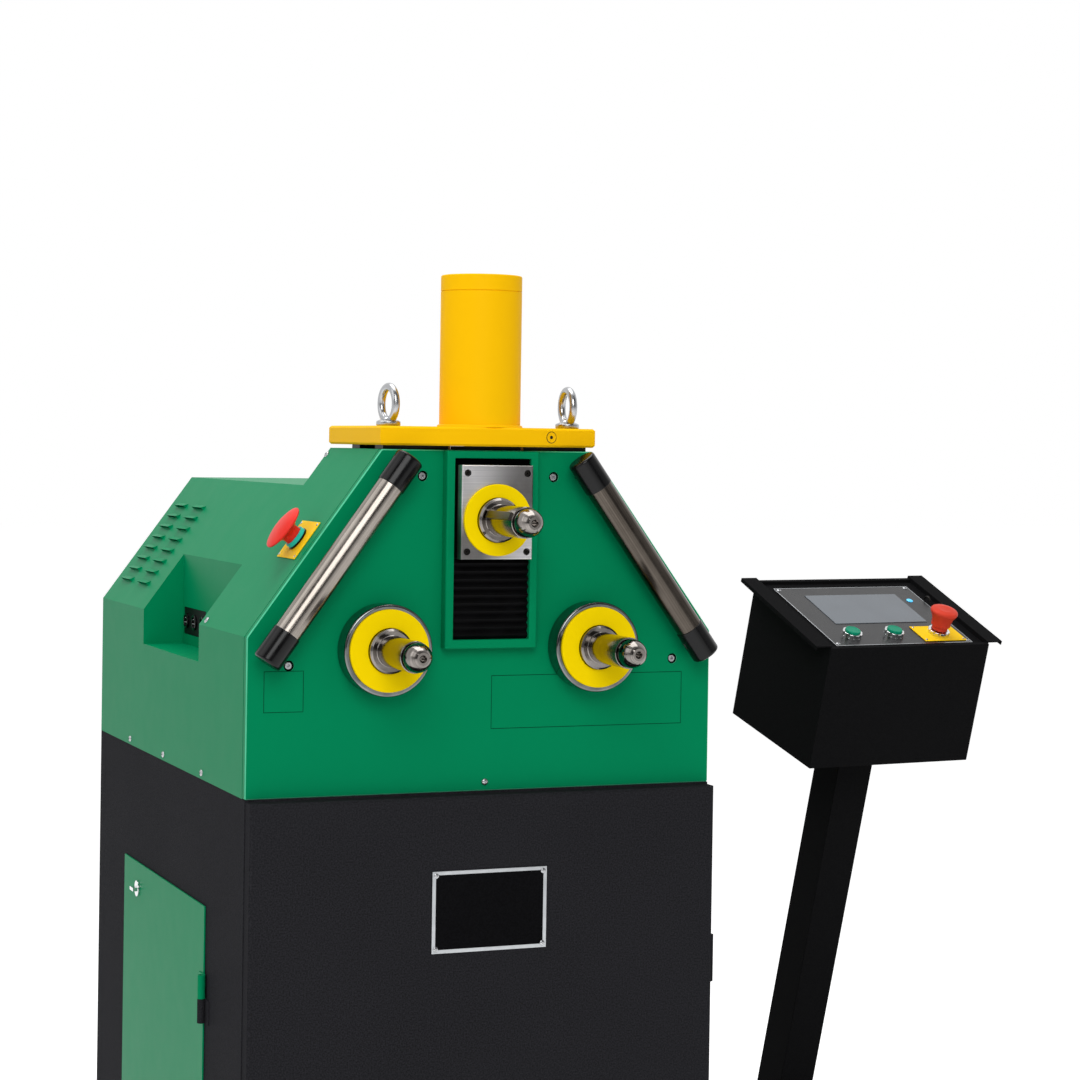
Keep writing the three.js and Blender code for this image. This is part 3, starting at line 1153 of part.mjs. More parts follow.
function buildPedestal() {
  const half = POST_SIZE / 2;
  const inner = half - POST_WALL;
  const flangeBase = BOX_START - FIT - POST_FLANGE;
  const flangeHalf = POST_FLANGE_SIZE / 2;
  const post = cut(box(-half, half, -half, half, -POST_SIZE, flangeBase + POST_FLANGE / 2),
    box(-inner, inner, -inner, inner, -POST_SIZE - OVERRUN, flangeBase));
  const flange = box(-flangeHalf, flangeHalf, -flangeHalf, flangeHalf, flangeBase, BOX_START - FIT);
  const cableHole = upright(rod(BOX_CABLE_RADIUS, flangeBase - OVERRUN, BOX_START + OVERRUN, SMALL));
  const leaning = cut(join(post, flange), cableHole).rotateX(POST_LEAN);
  const x = FOOT_PLATE_WIDTH / 2;
  const y = [FOOT_PLATE_REAR - FOOT_PLATE_DEPTH, FOOT_PLATE_REAR];
  const below = box(-x, x, ...y, -2 * POST_SIZE, FOOT_PLATE_THICKNESS / 2);
  const plate = slabZ(rectangle(-x, x, ...y), 0, FOOT_PLATE_THICKNESS);
  add(consoleBase, 'pedestal_stand', join(cut(leaning, below), plate), LOOKS.satinBlack);
}

function rail(side) {
  const wall = side * (BOX_WIDTH / 2);
  const outer = wall + side * RAIL_WIDTH;
  const inner = wall - side * BOX_SHEET;
  const sheet = BOX_SHEET;
  const span = (a, b) => [Math.min(a, b), Math.max(a, b)];
  const y = [RAIL_START, BOX_SLOPE + RAIL_OVERHANG];
  return join(
    box(...span(inner, outer), ...y, RAIL_RISE - sheet, RAIL_RISE),
    box(...span(inner, wall), ...y, -RECESS_DEPTH - sheet, RAIL_RISE),
    box(...span(outer - side * sheet, outer), ...y, RAIL_RISE - sheet - RAIL_LIP, RAIL_RISE),
  );
}

// Moves a shape from the panel's frame, at the box's front upper edge, into the box's frame.
function onPanel(geometry) {
  return geometry.rotateX(BOX_TILT).translate(0, -BOX_DEPTH / 2, BOX_START + BOX_FRONT_HEIGHT);
}

function buildConsoleBox() {
  const [x, y] = [BOX_WIDTH / 2, BOX_DEPTH / 2];
  const sheet = BOX_SHEET;
  const [front, rear] = [BOX_START + BOX_FRONT_HEIGHT, BOX_START + BOX_REAR_HEIGHT];
  const outer = slabX([[-y, BOX_START], [y, BOX_START], [y, rear], [-y, front]], -x, x);
  const roof = RECESS_DEPTH + PANEL_SHEET + FIT + sheet;
  const inner = slabX([
    [sheet - y, BOX_START + sheet], [y - sheet, BOX_START + sheet], [y - sheet, rear - roof],
    [sheet - y, front - roof],
  ], sheet - x, x - sheet);
  const recess = onPanel(box(sheet - x, x - sheet, RECESS_FRONT, BOX_SLOPE - RECESS_FRONT,
    sheet - roof, OVERRUN));
  const opening = onPanel(box(PANEL_LEFT + PANEL_RIM - x, PANEL_LEFT + PANEL_WIDTH - PANEL_RIM - x,
    PANEL_FRONT + PANEL_RIM, PANEL_FRONT + PANEL_DEPTH - PANEL_RIM, -OVERRUN, OVERRUN));
  const cableHole = upright(rod(BOX_CABLE_RADIUS, BOX_START - OVERRUN, BOX_START + OVERRUN, SMALL));
  const shell = cut(outer, inner, recess, opening, cableHole);
  add(consoleTilt, 'console_box', join(shell, onPanel(rail(-1)), onPanel(rail(1))), LOOKS.satinBlack);
}

// The panel's own frame: X from the left wall, Y from the front edge and Z from its upper face.
const panelEdge = place(consoleTilt, 0, -BOX_DEPTH / 2, BOX_START + BOX_FRONT_HEIGHT);
panelEdge.rotation.x = BOX_TILT;
const panel = place(panelEdge, -BOX_WIDTH / 2, 0, -RECESS_DEPTH);

function buildPanel() {
  const plate = box(PANEL_LEFT, PANEL_LEFT + PANEL_WIDTH, PANEL_FRONT, PANEL_FRONT + PANEL_DEPTH,
      -PANEL_SHEET, 0);
  const buttonHoles = BUTTON_PLACES.map((x) =>
    upright(rod(BUTTON_BARREL_RADIUS + FIT, -OVERRUN, OVERRUN)).translate(x, BUTTON_Y, 0));
  const stopHole = upright(rod(STOP_BARREL_RADIUS + FIT, -OVERRUN, OVERRUN)).translate(PANEL_STOP_X,
      BUTTON_Y, 0);
  const screenRight = SCREEN_LEFT + SCREEN_WIDTH;
  const screenRear = SCREEN_FRONT + SCREEN_DEPTH;
  const inset = SCREEN_BORDER - FIT;
  const screenHole = box(SCREEN_LEFT + inset, screenRight - inset, SCREEN_FRONT + inset,
      screenRear - inset,
    -OVERRUN, OVERRUN);
  add(panel, 'control_panel', cut(plate, ...buttonHoles, stopHole, screenHole), LOOKS.satinBlack);

  const glass = box(SCREEN_LEFT, screenRight, SCREEN_FRONT, screenRear, FIT, FIT + SCREEN_FACE);
  const body = box(SCREEN_LEFT + SCREEN_BORDER, screenRight - SCREEN_BORDER, SCREEN_FRONT + SCREEN_BORDER,
    screenRear - SCREEN_BORDER, -SCREEN_BODY, FIT + SCREEN_FACE / 2);
  add(panel, 'touch_screen', join(glass, body), LOOKS.screenGrey);
}

function buildPanelButtons() {
  const bezel = () => upright(turned([
    [BUTTON_STEM_RADIUS + FIT, -BUTTON_BARREL_LENGTH], [BUTTON_BARREL_RADIUS, -BUTTON_BARREL_LENGTH],
    [BUTTON_BARREL_RADIUS, FIT], [BEZEL_RADIUS, FIT], [BEZEL_RADIUS, BEZEL_HEIGHT - BEZEL_EDGE],
    [BEZEL_RADIUS - BEZEL_EDGE, BEZEL_HEIGHT], [BUTTON_CAP_RADIUS + RUNNING_FIT, BEZEL_HEIGHT],
    [BUTTON_CAP_RADIUS + RUNNING_FIT, BEZEL_FLOOR], [BUTTON_STEM_RADIUS + FIT, BEZEL_FLOOR],
    [BUTTON_STEM_RADIUS + FIT, -BUTTON_BARREL_LENGTH],
  ]));
  ['left_button', 'right_button'].forEach((name, i) => {
    add(panel, `${name}_bezel`, bezel().translate(BUTTON_PLACES[i], BUTTON_Y, 0), LOOKS.chrome);
    const cap = upright(turned([
      [0, -BUTTON_STEM_END], [BUTTON_STEM_RADIUS, -BUTTON_STEM_END], [BUTTON_STEM_RADIUS,
      BUTTON_CAP_BASE],
      [BUTTON_CAP_RADIUS, BUTTON_CAP_BASE], [BUTTON_CAP_RADIUS, BUTTON_CAP_TOP - BEZEL_EDGE],
      [BUTTON_CAP_RADIUS - BEZEL_EDGE, BUTTON_CAP_TOP], [0, BUTTON_CAP_TOP],
    ]));
    add(panel, `${name}_cap`, cap.translate(BUTTON_PLACES[i], BUTTON_Y, 0), LOOKS.capGreen);
  });
}

function buildPanelStop() {
  const base = FIT + STOP_PLATE;
  const [r, waist] = [PANEL_STOP_HEAD_RADIUS, PANEL_STOP_WAIST_RADIUS];
  const rim = base + PANEL_STOP_RIM;
  const top = base + PANEL_STOP_TOP;
  const rise = top - rim;
  buildStop(place(panel, PANEL_STOP_X, BUTTON_Y, 0), 'console_stop', PANEL_STOP_PLATE,
    PANEL_STOP_COLLAR_RADIUS, LOOKS.chrome, [
      [STOP_NECK_RADIUS, base + PANEL_STOP_WAIST], [waist, base + PANEL_STOP_WAIST],
      [waist + (r - waist) * 0.4, rim - rise], [r, rim], [r, rim + rise * 0.4], [r * 0.88,
      rim + rise * 0.75],
      [r * 0.5, rim + rise * 0.95], [0, top],
    ]);
}

buildCabinet();
buildFrontDoor();
buildAccessDoor();
buildPowerPack();
buildElectrics();
buildHood();
buildSocketBlock();
buildFrontPlate();
buildSlotFrame();
buildHeadFrame();
buildRamGuide();
buildRam();
buildBellows();
buildTopPlate();
buildCylinder();
buildEyeBolts();
buildRolls();
buildFaceBars();
buildSideStop();
buildPedestal();
buildConsoleBox();
buildPanel();
buildPanelButtons();
buildPanelStop();

export default ringRoller;
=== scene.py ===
"""Looks of the ring roller: enamel, textured paint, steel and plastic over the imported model.

Sizes are millimetres in the machine's own frames and become metres where a piece is placed.
"""
import json
import math

import bpy
from mathutils import Matrix, Vector


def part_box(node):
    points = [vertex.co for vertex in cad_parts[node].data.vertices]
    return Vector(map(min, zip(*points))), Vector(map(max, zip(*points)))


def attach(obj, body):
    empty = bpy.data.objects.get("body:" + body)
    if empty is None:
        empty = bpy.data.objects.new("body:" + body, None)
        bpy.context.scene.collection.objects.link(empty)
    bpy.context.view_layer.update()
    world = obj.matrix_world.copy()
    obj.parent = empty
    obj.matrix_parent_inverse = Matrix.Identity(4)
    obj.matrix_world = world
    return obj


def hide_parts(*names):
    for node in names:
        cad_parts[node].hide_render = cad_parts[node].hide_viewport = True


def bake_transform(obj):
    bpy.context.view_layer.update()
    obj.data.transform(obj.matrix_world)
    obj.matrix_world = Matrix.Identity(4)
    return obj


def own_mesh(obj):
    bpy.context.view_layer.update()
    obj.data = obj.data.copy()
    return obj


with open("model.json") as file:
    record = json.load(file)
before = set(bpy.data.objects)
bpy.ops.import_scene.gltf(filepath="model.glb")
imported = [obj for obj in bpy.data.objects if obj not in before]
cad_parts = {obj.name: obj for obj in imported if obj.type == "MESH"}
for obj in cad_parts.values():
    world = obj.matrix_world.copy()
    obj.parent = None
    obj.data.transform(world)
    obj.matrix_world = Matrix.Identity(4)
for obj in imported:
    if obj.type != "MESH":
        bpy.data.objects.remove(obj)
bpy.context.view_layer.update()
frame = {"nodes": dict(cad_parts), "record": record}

MM = 0.001
FINE = 96
MEDIUM = 48
COARSE = 24
HEXAGON = 6
OVERRUN = 9
TURNED_WELD = 0.001
SOLID_WELD = 0.005
FLAT_ANGLE = 0.4
SHARP_ANGLE = 35
FINE_EDGE = 0.3

# Machine and hood. A cap screw is its radius, height and socket, a dome screw its radius and height;
# the dark funnel of painted shade in a counterbore is an outline, as radius and height, and SLOT_SEAL a
# block, as its three spans
HOOD_FRONT_Y = -383.5
CABINET_TOP = 750
HOOD_HALF = 305
FOLD_RISE = 193.4
HEAD_RISE = 419.2
HEAD_HALF = 139.4
FRONT_PLATE = 12
PLATE_EDGE = 2.2
# How far behind the front plate's face, in millimetres, the painted highlight along its rounded edge runs
HIGHLIGHT_BAND = (0.25, 2)
SLOPE_ANGLE = math.atan2(HEAD_RISE - FOLD_RISE, HOOD_HALF - HEAD_HALF)
WINDOW_HALF = 49.9
WINDOW_BASE = 187.4
WINDOW_TOP = 409.2
PLATE_SCREWS = [(-252.7, 158.6), (252.7, 158.6), (-86.5, 387), (86.5, 387)]
COUNTERBORE_RADIUS = 6.5
COUNTERBORE_DEPTH = 8
PLATE_SCREW = (4.4, 6, 2.2)
# A dark funnel of painted shade that lines a counterbore round the screw head
COUNTERBORE_SHADE = [(4.4, 0), (6.4, 0), (6.4, 5.4), (5.2, 0.6)]
SLOT_SEAL = ((-46, 46), (-371.1, -369.1), (1160.2, 1173.8))
RAM_SCREWS = [(-39, 295.8), (39, 295.8), (-39, 391.6), (39, 391.6)]
RAM_SCREW = (3.6, 4, 1.9)
RAM_SCREW_SEAT = 24.7
HEAD_EDGE_SHARE = 0.12
SOCKET_FLOOR_SHARE = 0.4
HOOD_SCREW = (4.2, 2.6)
DOME_RIM_SHARE = 0.2
DOME_SOCKET_SHARE = 0.35
DOME_ANGLES = (0.3, 0.6, 0.9, 1.2, 1.4)
FRONT_DOME_RISE = 11
SLOPE_DOMES = [(200, 272), (199, 11)]
SIDE_DOMES = [198, 395, 583]
SIDE_DOME_RISE = 8
LABEL_FIELDS = [("right", (7, 266), (76, 142)), ("left", (-283.5, -234), (103, 152.6))]
LABEL_RELIEF = (-0.1, 0.12)
LABEL_LINE_WIDTH = 0.7

# Bellows of the ram; the shares are of a fold's depth and height
BELLOWS_INSET = 1.2
BELLOWS_DEPTH = 4.6
BELLOWS_CLOTH = 0.8
LOWER_FOLDS = 10
UPPER_FOLDS = 3
FOLD_SHARES = [(-0.8, 0.36), (-0.2, 0.14), (0.2, 0.14), (0.8, 0.36)]

# Rolls, their discs and housings; a shaft runs over journal, shoulder, seat, groove, nose and centre
LOWER_ROLL_X = 136.9
LOWER_ROLL_RISE = 177.1
UPPER_ROLL_RISE = 334.3
SHOULDER_RADIUS = 27
SHOULDER_FRONT = 42
SEAT_RADIUS = 19
GROOVE_START = 125
SHAFT = [
    (22, -150), (22, 20), (27, 20), (27, 39.5), (24.5, 42), (19.8, 42), (19, 42.8), (19, 124.2),
    (18.2, 125), (15.5, 125), (15.5, 130), (16.7, 130), (17.5, 130.8), (17.5, 134), (16.7, 138),
    (15.3, 142), (13.3, 146), (10.8, 149.5), (8.5, 151.2), (7.5, 152), (4.6, 152), (3, 149.5), (3, 143),
]
KEY_WIDTH = 10
KEY_HEIGHT = 8
KEY_STANDOUT = 3
KEY_MARGIN = 4
KEY_FIT = 0.1
KEY_EDGE = 0.5
UPPER_KEY_TURN = -68
LOWER_KEY_TURN = 90
HOUSING_RADIUS = 56
HOUSING_FRONT = 30.3
HOUSING_EDGE = 3
HOUSING_BORE = 52
HOUSING_WAIST = [(56, 2.5), (55, 1.5), (55, 0), (51, 0)]
DISC_THICKNESS = 4
DISC_BEVEL = 0.6
DISC_ROUND = 1
LOWER_DISC_RADIUS = 50
UPPER_DISC_RADIUS = 44
RUNNING_FIT = 0.4

# Bars across the front
BAR_RADIUS = 17
BAR_STANDOFF = 25.5
BAR_LOWER = (288.2, 164.8)
BAR_UPPER = (111.4, 409.7)
SLEEVE_RADIUS = 18
SLEEVE_LENGTH = 43
SLEEVE_ROUND = 3.5
SLEEVE_LIP = 0.7
SLEEVE_END_WIDTH = 5
BAR_LAP = 3
BAR_SINK = 1
BAR_FOOT = [(11, 0), (11, 2), (9, 3), (9, BAR_STANDOFF)]
# Both bars are one steel: the left bar's lighter tones are painted light, the right bar's darker tones
# painted shade
LIT_LEFT_BAR_TONES = ("#78716A", "#B0A9A1")
SHADED_RIGHT_BAR_TONES = ("#3E3832", "#6B645D")

# Cylinder, top plate and lifting eyes
CYLINDER_Y = 35
CYLINDER_RADIUS = 50.5
PLATE_TOP = 447.5
CYLINDER_TOP = 635.5
CYLINDER_WALL = 8
CYLINDER_SEAM = 3
CAP_HEIGHT = 20
CAP_GROOVE = 0.9
CAP_BEVELS = (0.5, 0.7)
CAP_ROUND = 2
FACET_ANGLE = math.atan2(19, 96.2)
PORT_PLACE = (77.1, -12.8, 436.2)
PORT_PLUG = [(5.5, -1), (6.5, -1), (6.5, 0.35), (5.7, 0.5), (5.2, 0.1), (2.4, 0.1), (1.6, -0.4), (1.6, -3)]
# The dark ring round the port plug and the dark cup in its socket are painted shade, given as radius and
# height
PORT_GROOVE_SHADE = [(6.4, -0.4), (7.3, -0.4), (7.3, 0.2), (6.9, 0.3), (6.4, 0.3)]
PORT_HOLE_SHADE = [(2.1, -0.4), (2.1, 0.2), (1.8, 0.25)]
EYE_PLACES = [("left", -119, 37, 0.1), ("right", 119, 37, -0.045)]
EYE_RING_RADIUS = 21
EYE_WIRE_RADIUS = 5
EYE_HEIGHT = 53
EYE_COLLAR = [(14, 0), (15, 1), (15, 4.4)]
EYE_COLLAR_ROUND = (13, 4.4, 2)
EYE_NECK = [(9.5, 8), (7, 9.5), (5.5, 12)]

# Stop buttons. An outline is radius and height, and for heads radius and distance below the top;
# a round is the radius and height of its middle and its size
SIDE_STOP_Y = 65
SIDE_STOP_ALONG = 140
SIDE_PLATE = (73, 55)
PANEL_STOP = (212, 39.3)
PANEL_PLATE = (73, 45)
STOP_PLATE = 1.5
STOP_PLATE_GAP = 0.3
STOP_PLATE_EDGE = 0.5
RIVET_INSET = 4
RIVET = [(1.9, 0), (1.9, 0.3), (1.5, 0.8), (0.7, 1.1)]
SIDE_SEAT = [(12.2, 1.5), (15.5, 1.5), (15.5, 3.6), (13, 4), (12.2, 4)]
SIDE_COLLAR = [(12.2, 4), (14.5, 4), (14.5, 8.2)]
SIDE_COLLAR_ROUND = (13.7, 8.2, 0.8)
SIDE_COLLAR_END = [(12.2, 9)]
MUSHROOM_UNDERSIDE = [(11.8, 17), (12.4, 15), (15.3, 12.6), (20.8, 10), (27.5, 7.4)]
MUSHROOM_ROUND = (28.2, 5.9, 1.5)
MUSHROOM_CROWN = [(24.7, 3), (18.7, 1.3), (10.7, 0.3), (3, 0)]
PANEL_COLLAR = [(11.8, STOP_PLATE), (16, STOP_PLATE), (16, 5)]
PANEL_COLLAR_ROUND = (15, 6.5, 1)
PANEL_COLLAR_BORE = [(12.2, 7.5), (11.8, 3)]
PANEL_FLUTES = {"radius": 16.6, "low": 4.4, "high": 20, "count": 12, "width": 1.7}
CUP_SIDE = [(11.6, 31), (14, 29.5), (14.2, 24), (16, 17), (18.6, 12.5)]
CUP_LIP = (16.5, 8.5, 3.6)
CUP_DISH = [(12, 3.6), (9, 4), (3, 4.2)]

# Console
CONSOLE_X = 704.3
CONSOLE_Y = 217.1
CONSOLE_YAW = 0.1007
POST_LEAN = 0.2775
BOX_START = 782.1
BOX_WIDTH = 276.6
BOX_DEPTH = 213
BOX_FRONT_HEIGHT = 181
BOX_REAR_HEIGHT = 209.2
RECESS_DEPTH = 2.5
PANEL_X = (18, 256)
PANEL_Y = (12, 191.3)
SCREEN_X = (57, 218)
SCREEN_Y = (77, 166)
BUTTONS = [("left", 60), ("right", 132.8)]
BUTTON_Y = 39.3
BEZEL = [(12, 0), (14.6, 0), (14.6, 6.8)]
BEZEL_ROUND = (13.8, 7.2, 0.8)
BEZEL_BORE = [(11.6, 8), (11.6, 3)]
BEZEL_FLUTES = {"radius": 15.8, "low": 1.8, "high": 20, "count": 10, "width": 2.4}
CAP_STEM = 6
CAP_BASE = 5.2
CAP_RADIUS = 11.2
CAP_EDGE = 1.2
CAP_DISH = [(9.2, 0), (8.8, 0.4), (2, 0.5)]
SHEET_GAP = 0.6
SHEET_DEPTH = 1.5
PANEL_BORDER = 1.1
PANEL_BORDER_RISE = 0.25
PANEL_EDGE = 0.2
PANEL_SCREW_INSET = 6
PANEL_SCREW_SIZE = (3.6, 1.6)
DISPLAY_REACH = (-20, 0.9)
DISPLAY_EDGE = 0.5
LAMP = (232, 145)
LAMP_OUTLINE = [(5, 0), (5, 0.6), (4.2, 1.2), (2, 1.6)]
LOOP = (262, 142)
LOOP_RADIUS = 7
LOOP_WIRE_RADIUS = 1.1

# Front door's nameplate and the pocket's connectors
DOOR_FRONT = 22.3
NAMEPLATE_WIDTH = 150
NAMEPLATE_HEIGHT = 100
NAMEPLATE_DROP = 92.6
NAMEPLATE_BORDER = 4.5
NAMEPLATE_THICKNESS = 1.1
BORDER_REACH = (0.2, 1.5)
BORDER_EDGE = 0.35
NAMEPLATE_SCREW_INSET = (5, 5.4)
NAMEPLATE_SCREW_SIZE = (3.4, 1.8)
CONNECTORS = 3
CONNECTOR_RIM = [(7, 0), (10.5, 0), (10.5, 2.4), (9.5, 3), (8.2, 3), (7.6, 2.4), (7.6, 0.8), (3, 0.8)]
CONNECTOR_SINK = 0.1
CONNECTOR_PIN = [(0.9, 0), (0.9, 2), (0.5, 2.6)]
PIN_CIRCLE = 4
PINS = 3

# Light of the room; lamps are a name, a place and a target in metres, a side and a power in watts
AMBIENT = 0.45
DIM_ROOM = 0.12
DIM_TO_WHITE = (-0.5, 0.2)
FLOOR_GLOW = 0.62
FLOOR_SIZE = 60
FLOOR_LEVEL = -0.0005
FLOOR_TONES = [(0.86, 0.86, 0.86, 1), (0.82, 0.82, 0.82, 1)]
LAMPS = [
    ("key", (-1.2, -3.6, 3.0), (0, -0.3, 0.9), 2.2, 68),
    ("right_fill", (3.2, -2.6, 1.9), (0.3, -0.2, 0.9), 2.0, 4),
    ("left_fill", (-3.2, -0.6, 3.0), (-0.3, 0, 1.2), 2.4, 18),
    ("top", (0, 0.4, 4.0), (0, 0, 0.9), 2.5, 63),
]

# The photograph's camera: place in metres, turns in degrees, lens in pixels of the picture
VIEWPOINT = (-1.1432, -3.3341, 1.1797)
VIEW_TURNS = (22.271, -0.368, 0.840)
PICTURE_WIDTH = 1080
FOCAL_PIXELS = 2571.15
CENTRE_PIXELS = (538.31, 459.07)
SENSOR_WIDTH = 36
CLIP_END = 100


def turn(axis, angle):
    """A rotation about one axis."""
    return Matrix.Rotation(angle, 4, axis)


def shift(x, y, z):
    """A move by a distance in millimetres."""
    return Matrix.Translation(Vector((x, y, z)) * MM)


HEAD = shift(0, HOOD_FRONT_Y, CABINET_TOP)
CONSOLE = shift(CONSOLE_X, CONSOLE_Y, 0) @ turn("Z", CONSOLE_YAW) @ turn("X", POST_LEAN)
PANEL = (
    CONSOLE
    @ shift(0, -BOX_DEPTH / 2, BOX_START + BOX_FRONT_HEIGHT)
    @ turn("X", math.atan2(BOX_REAR_HEIGHT - BOX_FRONT_HEIGHT, BOX_DEPTH))
    @ shift(-BOX_WIDTH / 2, 0, -RECESS_DEPTH)
)


def facing(x, rise, front=0):
    """A frame on the front of the hood: Z points at the viewer, Y up."""
    return HEAD @ shift(x, -front, rise) @ turn("X", math.pi / 2)


def on_slope(side, y, along):
    """A frame on a slope of the hood: Z points out of the sheet, Y down the slope."""
    outward = turn("Y", side * SLOPE_ANGLE)
    x = HEAD_HALF + along * math.cos(SLOPE_ANGLE)
    rise = HEAD_RISE - along * math.sin(SLOPE_ANGLE)
    return HEAD @ shift(side * x, y, rise) @ outward @ turn("Z", -side * math.pi / 2)


def on_side(side, y, rise):
    """A frame on a side wall: Z points out of the machine."""
    return HEAD @ shift(side * HOOD_HALF, y, rise) @ turn("Y", side * math.pi / 2)


def arithmetic(operation, swapped=False):
    """A method that joins a shader number and another by one operation."""
    def result(self, other):
        first, second = (other, self) if swapped else (self, other)
        return self.finish.node("ShaderNodeMath", {"operation": operation}, {0: first, 1: second})
    return result


class Value:
    """A number on a shader socket that takes part in plain arithmetic."""

    def __init__(self, finish, socket):
        self.finish = finish
        self.socket = socket

    __add__ = arithmetic("ADD")
    __radd__ = arithmetic("ADD", True)
    __sub__ = arithmetic("SUBTRACT")
    __mul__ = arithmetic("MULTIPLY")
    __rmul__ = arithmetic("MULTIPLY", True)
    __truediv__ = arithmetic("DIVIDE")
    __gt__ = arithmetic("GREATER_THAN")
    __lt__ = arithmetic("LESS_THAN")


def tint(code, alpha=1.0):
    """A colour as it looks on screen, turned into the light it stands for."""
    parts = [int(code[i : i + 2], 16) / 255 for i in (1, 3, 5)]
    linear = [c / 12.92 if c <= 0.04045 else ((c + 0.055) / 1.055) ** 2.4 for c in parts]
    return (*linear, alpha)


class Tree:
    """A node tree that nodes are added to."""

    def __init__(self, tree):
        self.tree = tree

    def node(self, kind, settings=None, inputs=None, output=0):
        made = self.tree.nodes.new(kind)
        for key, value in (settings or {}).items():
            setattr(made, key, value)
        for key, value in (inputs or {}).items():
            if isinstance(value, Value):
                self.tree.links.new(value.socket, made.inputs[key])
            else:
                made.inputs[key].default_value = value
        return Value(self, made.outputs[output]) if made.outputs else None

    def axis(self, vector, name):
        return self.node("ShaderNodeSeparateXYZ", {}, {"Vector": vector}, output=name)

    def ray(self, kind):
        return self.node("ShaderNodeLightPath", output=f"Is {kind} Ray")


class Finish(Tree):
    """One material: a Principled shader and the pattern that feeds it."""

    def __init__(self, name, slot, constants):
        self.material = bpy.data.materials.new(name)
        self.material.use_nodes = True
        self.slot = slot
        super().__init__(self.material.node_tree)
        self.shader = self.tree.nodes["Principled BSDF"]
        for socket, value in constants.items():
            self.shader.inputs[socket].default_value = value

    def place(self, scale=(1, 1, 1), angle=(0, 0, 0)):
        """Object coordinates, turned and then stretched."""
        point = self.node("ShaderNodeTexCoord", output="Object")
        turned_back = self.node("ShaderNodeMapping", {}, {"Vector": point, "Rotation": angle})
        return self.node("ShaderNodeMapping", {}, {"Vector": turned_back, "Scale": scale})

    def noise(self, place, scale, detail=2.0, rough=0.5):
        return self.node("ShaderNodeTexNoise", {},
                         {"Vector": place, "Scale": scale, "Detail": detail, "Roughness": rough})

    def spread(self, value, low, high):
        """The middle of a noise, stretched to run from 0 to 1."""
        return self.node("ShaderNodeMapRange", {"clamp": True},
                         {"Value": value, "From Min": low, "From Max": high})

    def mixed(self, factor, first, second):
        """Two colours mixed by a factor."""
        return self.node("ShaderNodeMix", {"data_type": "RGBA"},
                         {0: factor, 6: first, 7: second}, output=2)

    def feed(self, socket, value):
        self.tree.links.new(value.socket, self.shader.inputs[socket])

    def bumps(self, height, depth, strength=1.0):
        """Relief of a depth in metres."""
        normal = self.node("ShaderNodeBump", {},
                           {"Height": height, "Distance": depth, "Strength": strength})
        self.feed("Normal", normal)


def enamel(name, slot, colour, deep, roughness=0.36, painted_highlight=None):
    """Sprayed enamel: a slow drift in tone, the dimpling of the spray and, on the plate, a painted
    highlight in light green along its rounded edge.
    """
    finish = Finish(name, slot, {"IOR": 1.5, "Specular IOR Level": 0.03})
    place = finish.place()
    drift = finish.spread(finish.noise(place, 2.5, 3.0), 0.3, 0.7)
    cloud = finish.spread(finish.noise(place, 30, 4.0), 0.25, 0.75)
    paint = finish.mixed(drift * 0.3 + cloud * 0.06, tint(colour), tint(deep))
    # Painted highlight: a light green band just behind the plate's face, on its rounded edge
    if painted_highlight:
        depth = finish.axis(place, "Y")
        start, end = ((HOOD_FRONT_Y + edge) * MM for edge in HIGHLIGHT_BAND)
        behind = (depth > start) * (depth < end)
        paint = finish.mixed(behind * (0.5 + 0.3 * cloud), paint, tint(painted_highlight))
    finish.feed("Base Color", paint)
    finish.feed("Roughness", roughness + 0.04 * cloud)
    peel = finish.noise(place, 420, 2.0)
    fleck = finish.noise(place, 1500, 1.0)
    finish.bumps(peel + 0.3 * fleck, 0.00003, 0.4)
    return finish


def textured_paint(name, slot, colour, light, depth, roughness):
    """Powder coat with a fine, hard grain."""
    finish = Finish(name, slot, {"IOR": 1.45, "Specular IOR Level": 0.008})
    place = finish.place()
    grain = finish.spread(finish.noise(place, 520, 3.0, 0.65), 0.35, 0.65)
    drift = finish.noise(place, 5, 3.0)
    finish.feed("Base Color", finish.mixed(grain * 0.7 + drift * 0.2, tint(colour), tint(light)))
    finish.feed("Roughness", roughness + 0.15 * grain)
    finish.bumps(grain, depth)
    return finish


def worked_steel(name, slot, dark, light, scale, angle=(0, 0, 0), roughness=0.28, painted_shade=None):
    """Ground or turned steel: marks that run one way, set by how the pattern is stretched; where asked,
    painted shade darkens it towards two opposite quarters round the upper roll's height.
    """
    finish = Finish(name, slot, {"Metallic": 1.0})
    place = finish.place(scale, angle)
    lines = finish.noise(place, 1.0, 3.0, 0.6)
    sharp = finish.spread(lines, 0.3, 0.7)
    handling = finish.spread(finish.noise(finish.place(), 22, 4.0, 0.6), 0.35, 0.7)
    steel = finish.mixed(sharp * 0.6 + handling * 0.3, tint(dark), tint(light))
    # Painted shade: darker towards the top right and bottom left, round the upper roll's height
    if painted_shade:
        x = finish.axis(finish.place(), "X")
        z = finish.axis(finish.place(), "Z") - (CABINET_TOP + UPPER_ROLL_RISE) * MM
        quarter = finish.spread(x * z / (x * x + z * z + 1e-7), -0.45, 0.4)
        steel = finish.mixed(quarter * (0.75 + 0.15 * handling), steel, tint(painted_shade))
    finish.feed("Base Color", steel)
    finish.feed("Roughness", roughness + 0.08 * sharp + 0.08 * handling)
    finish.bumps(sharp, 0.000008, 0.5)
    return finish


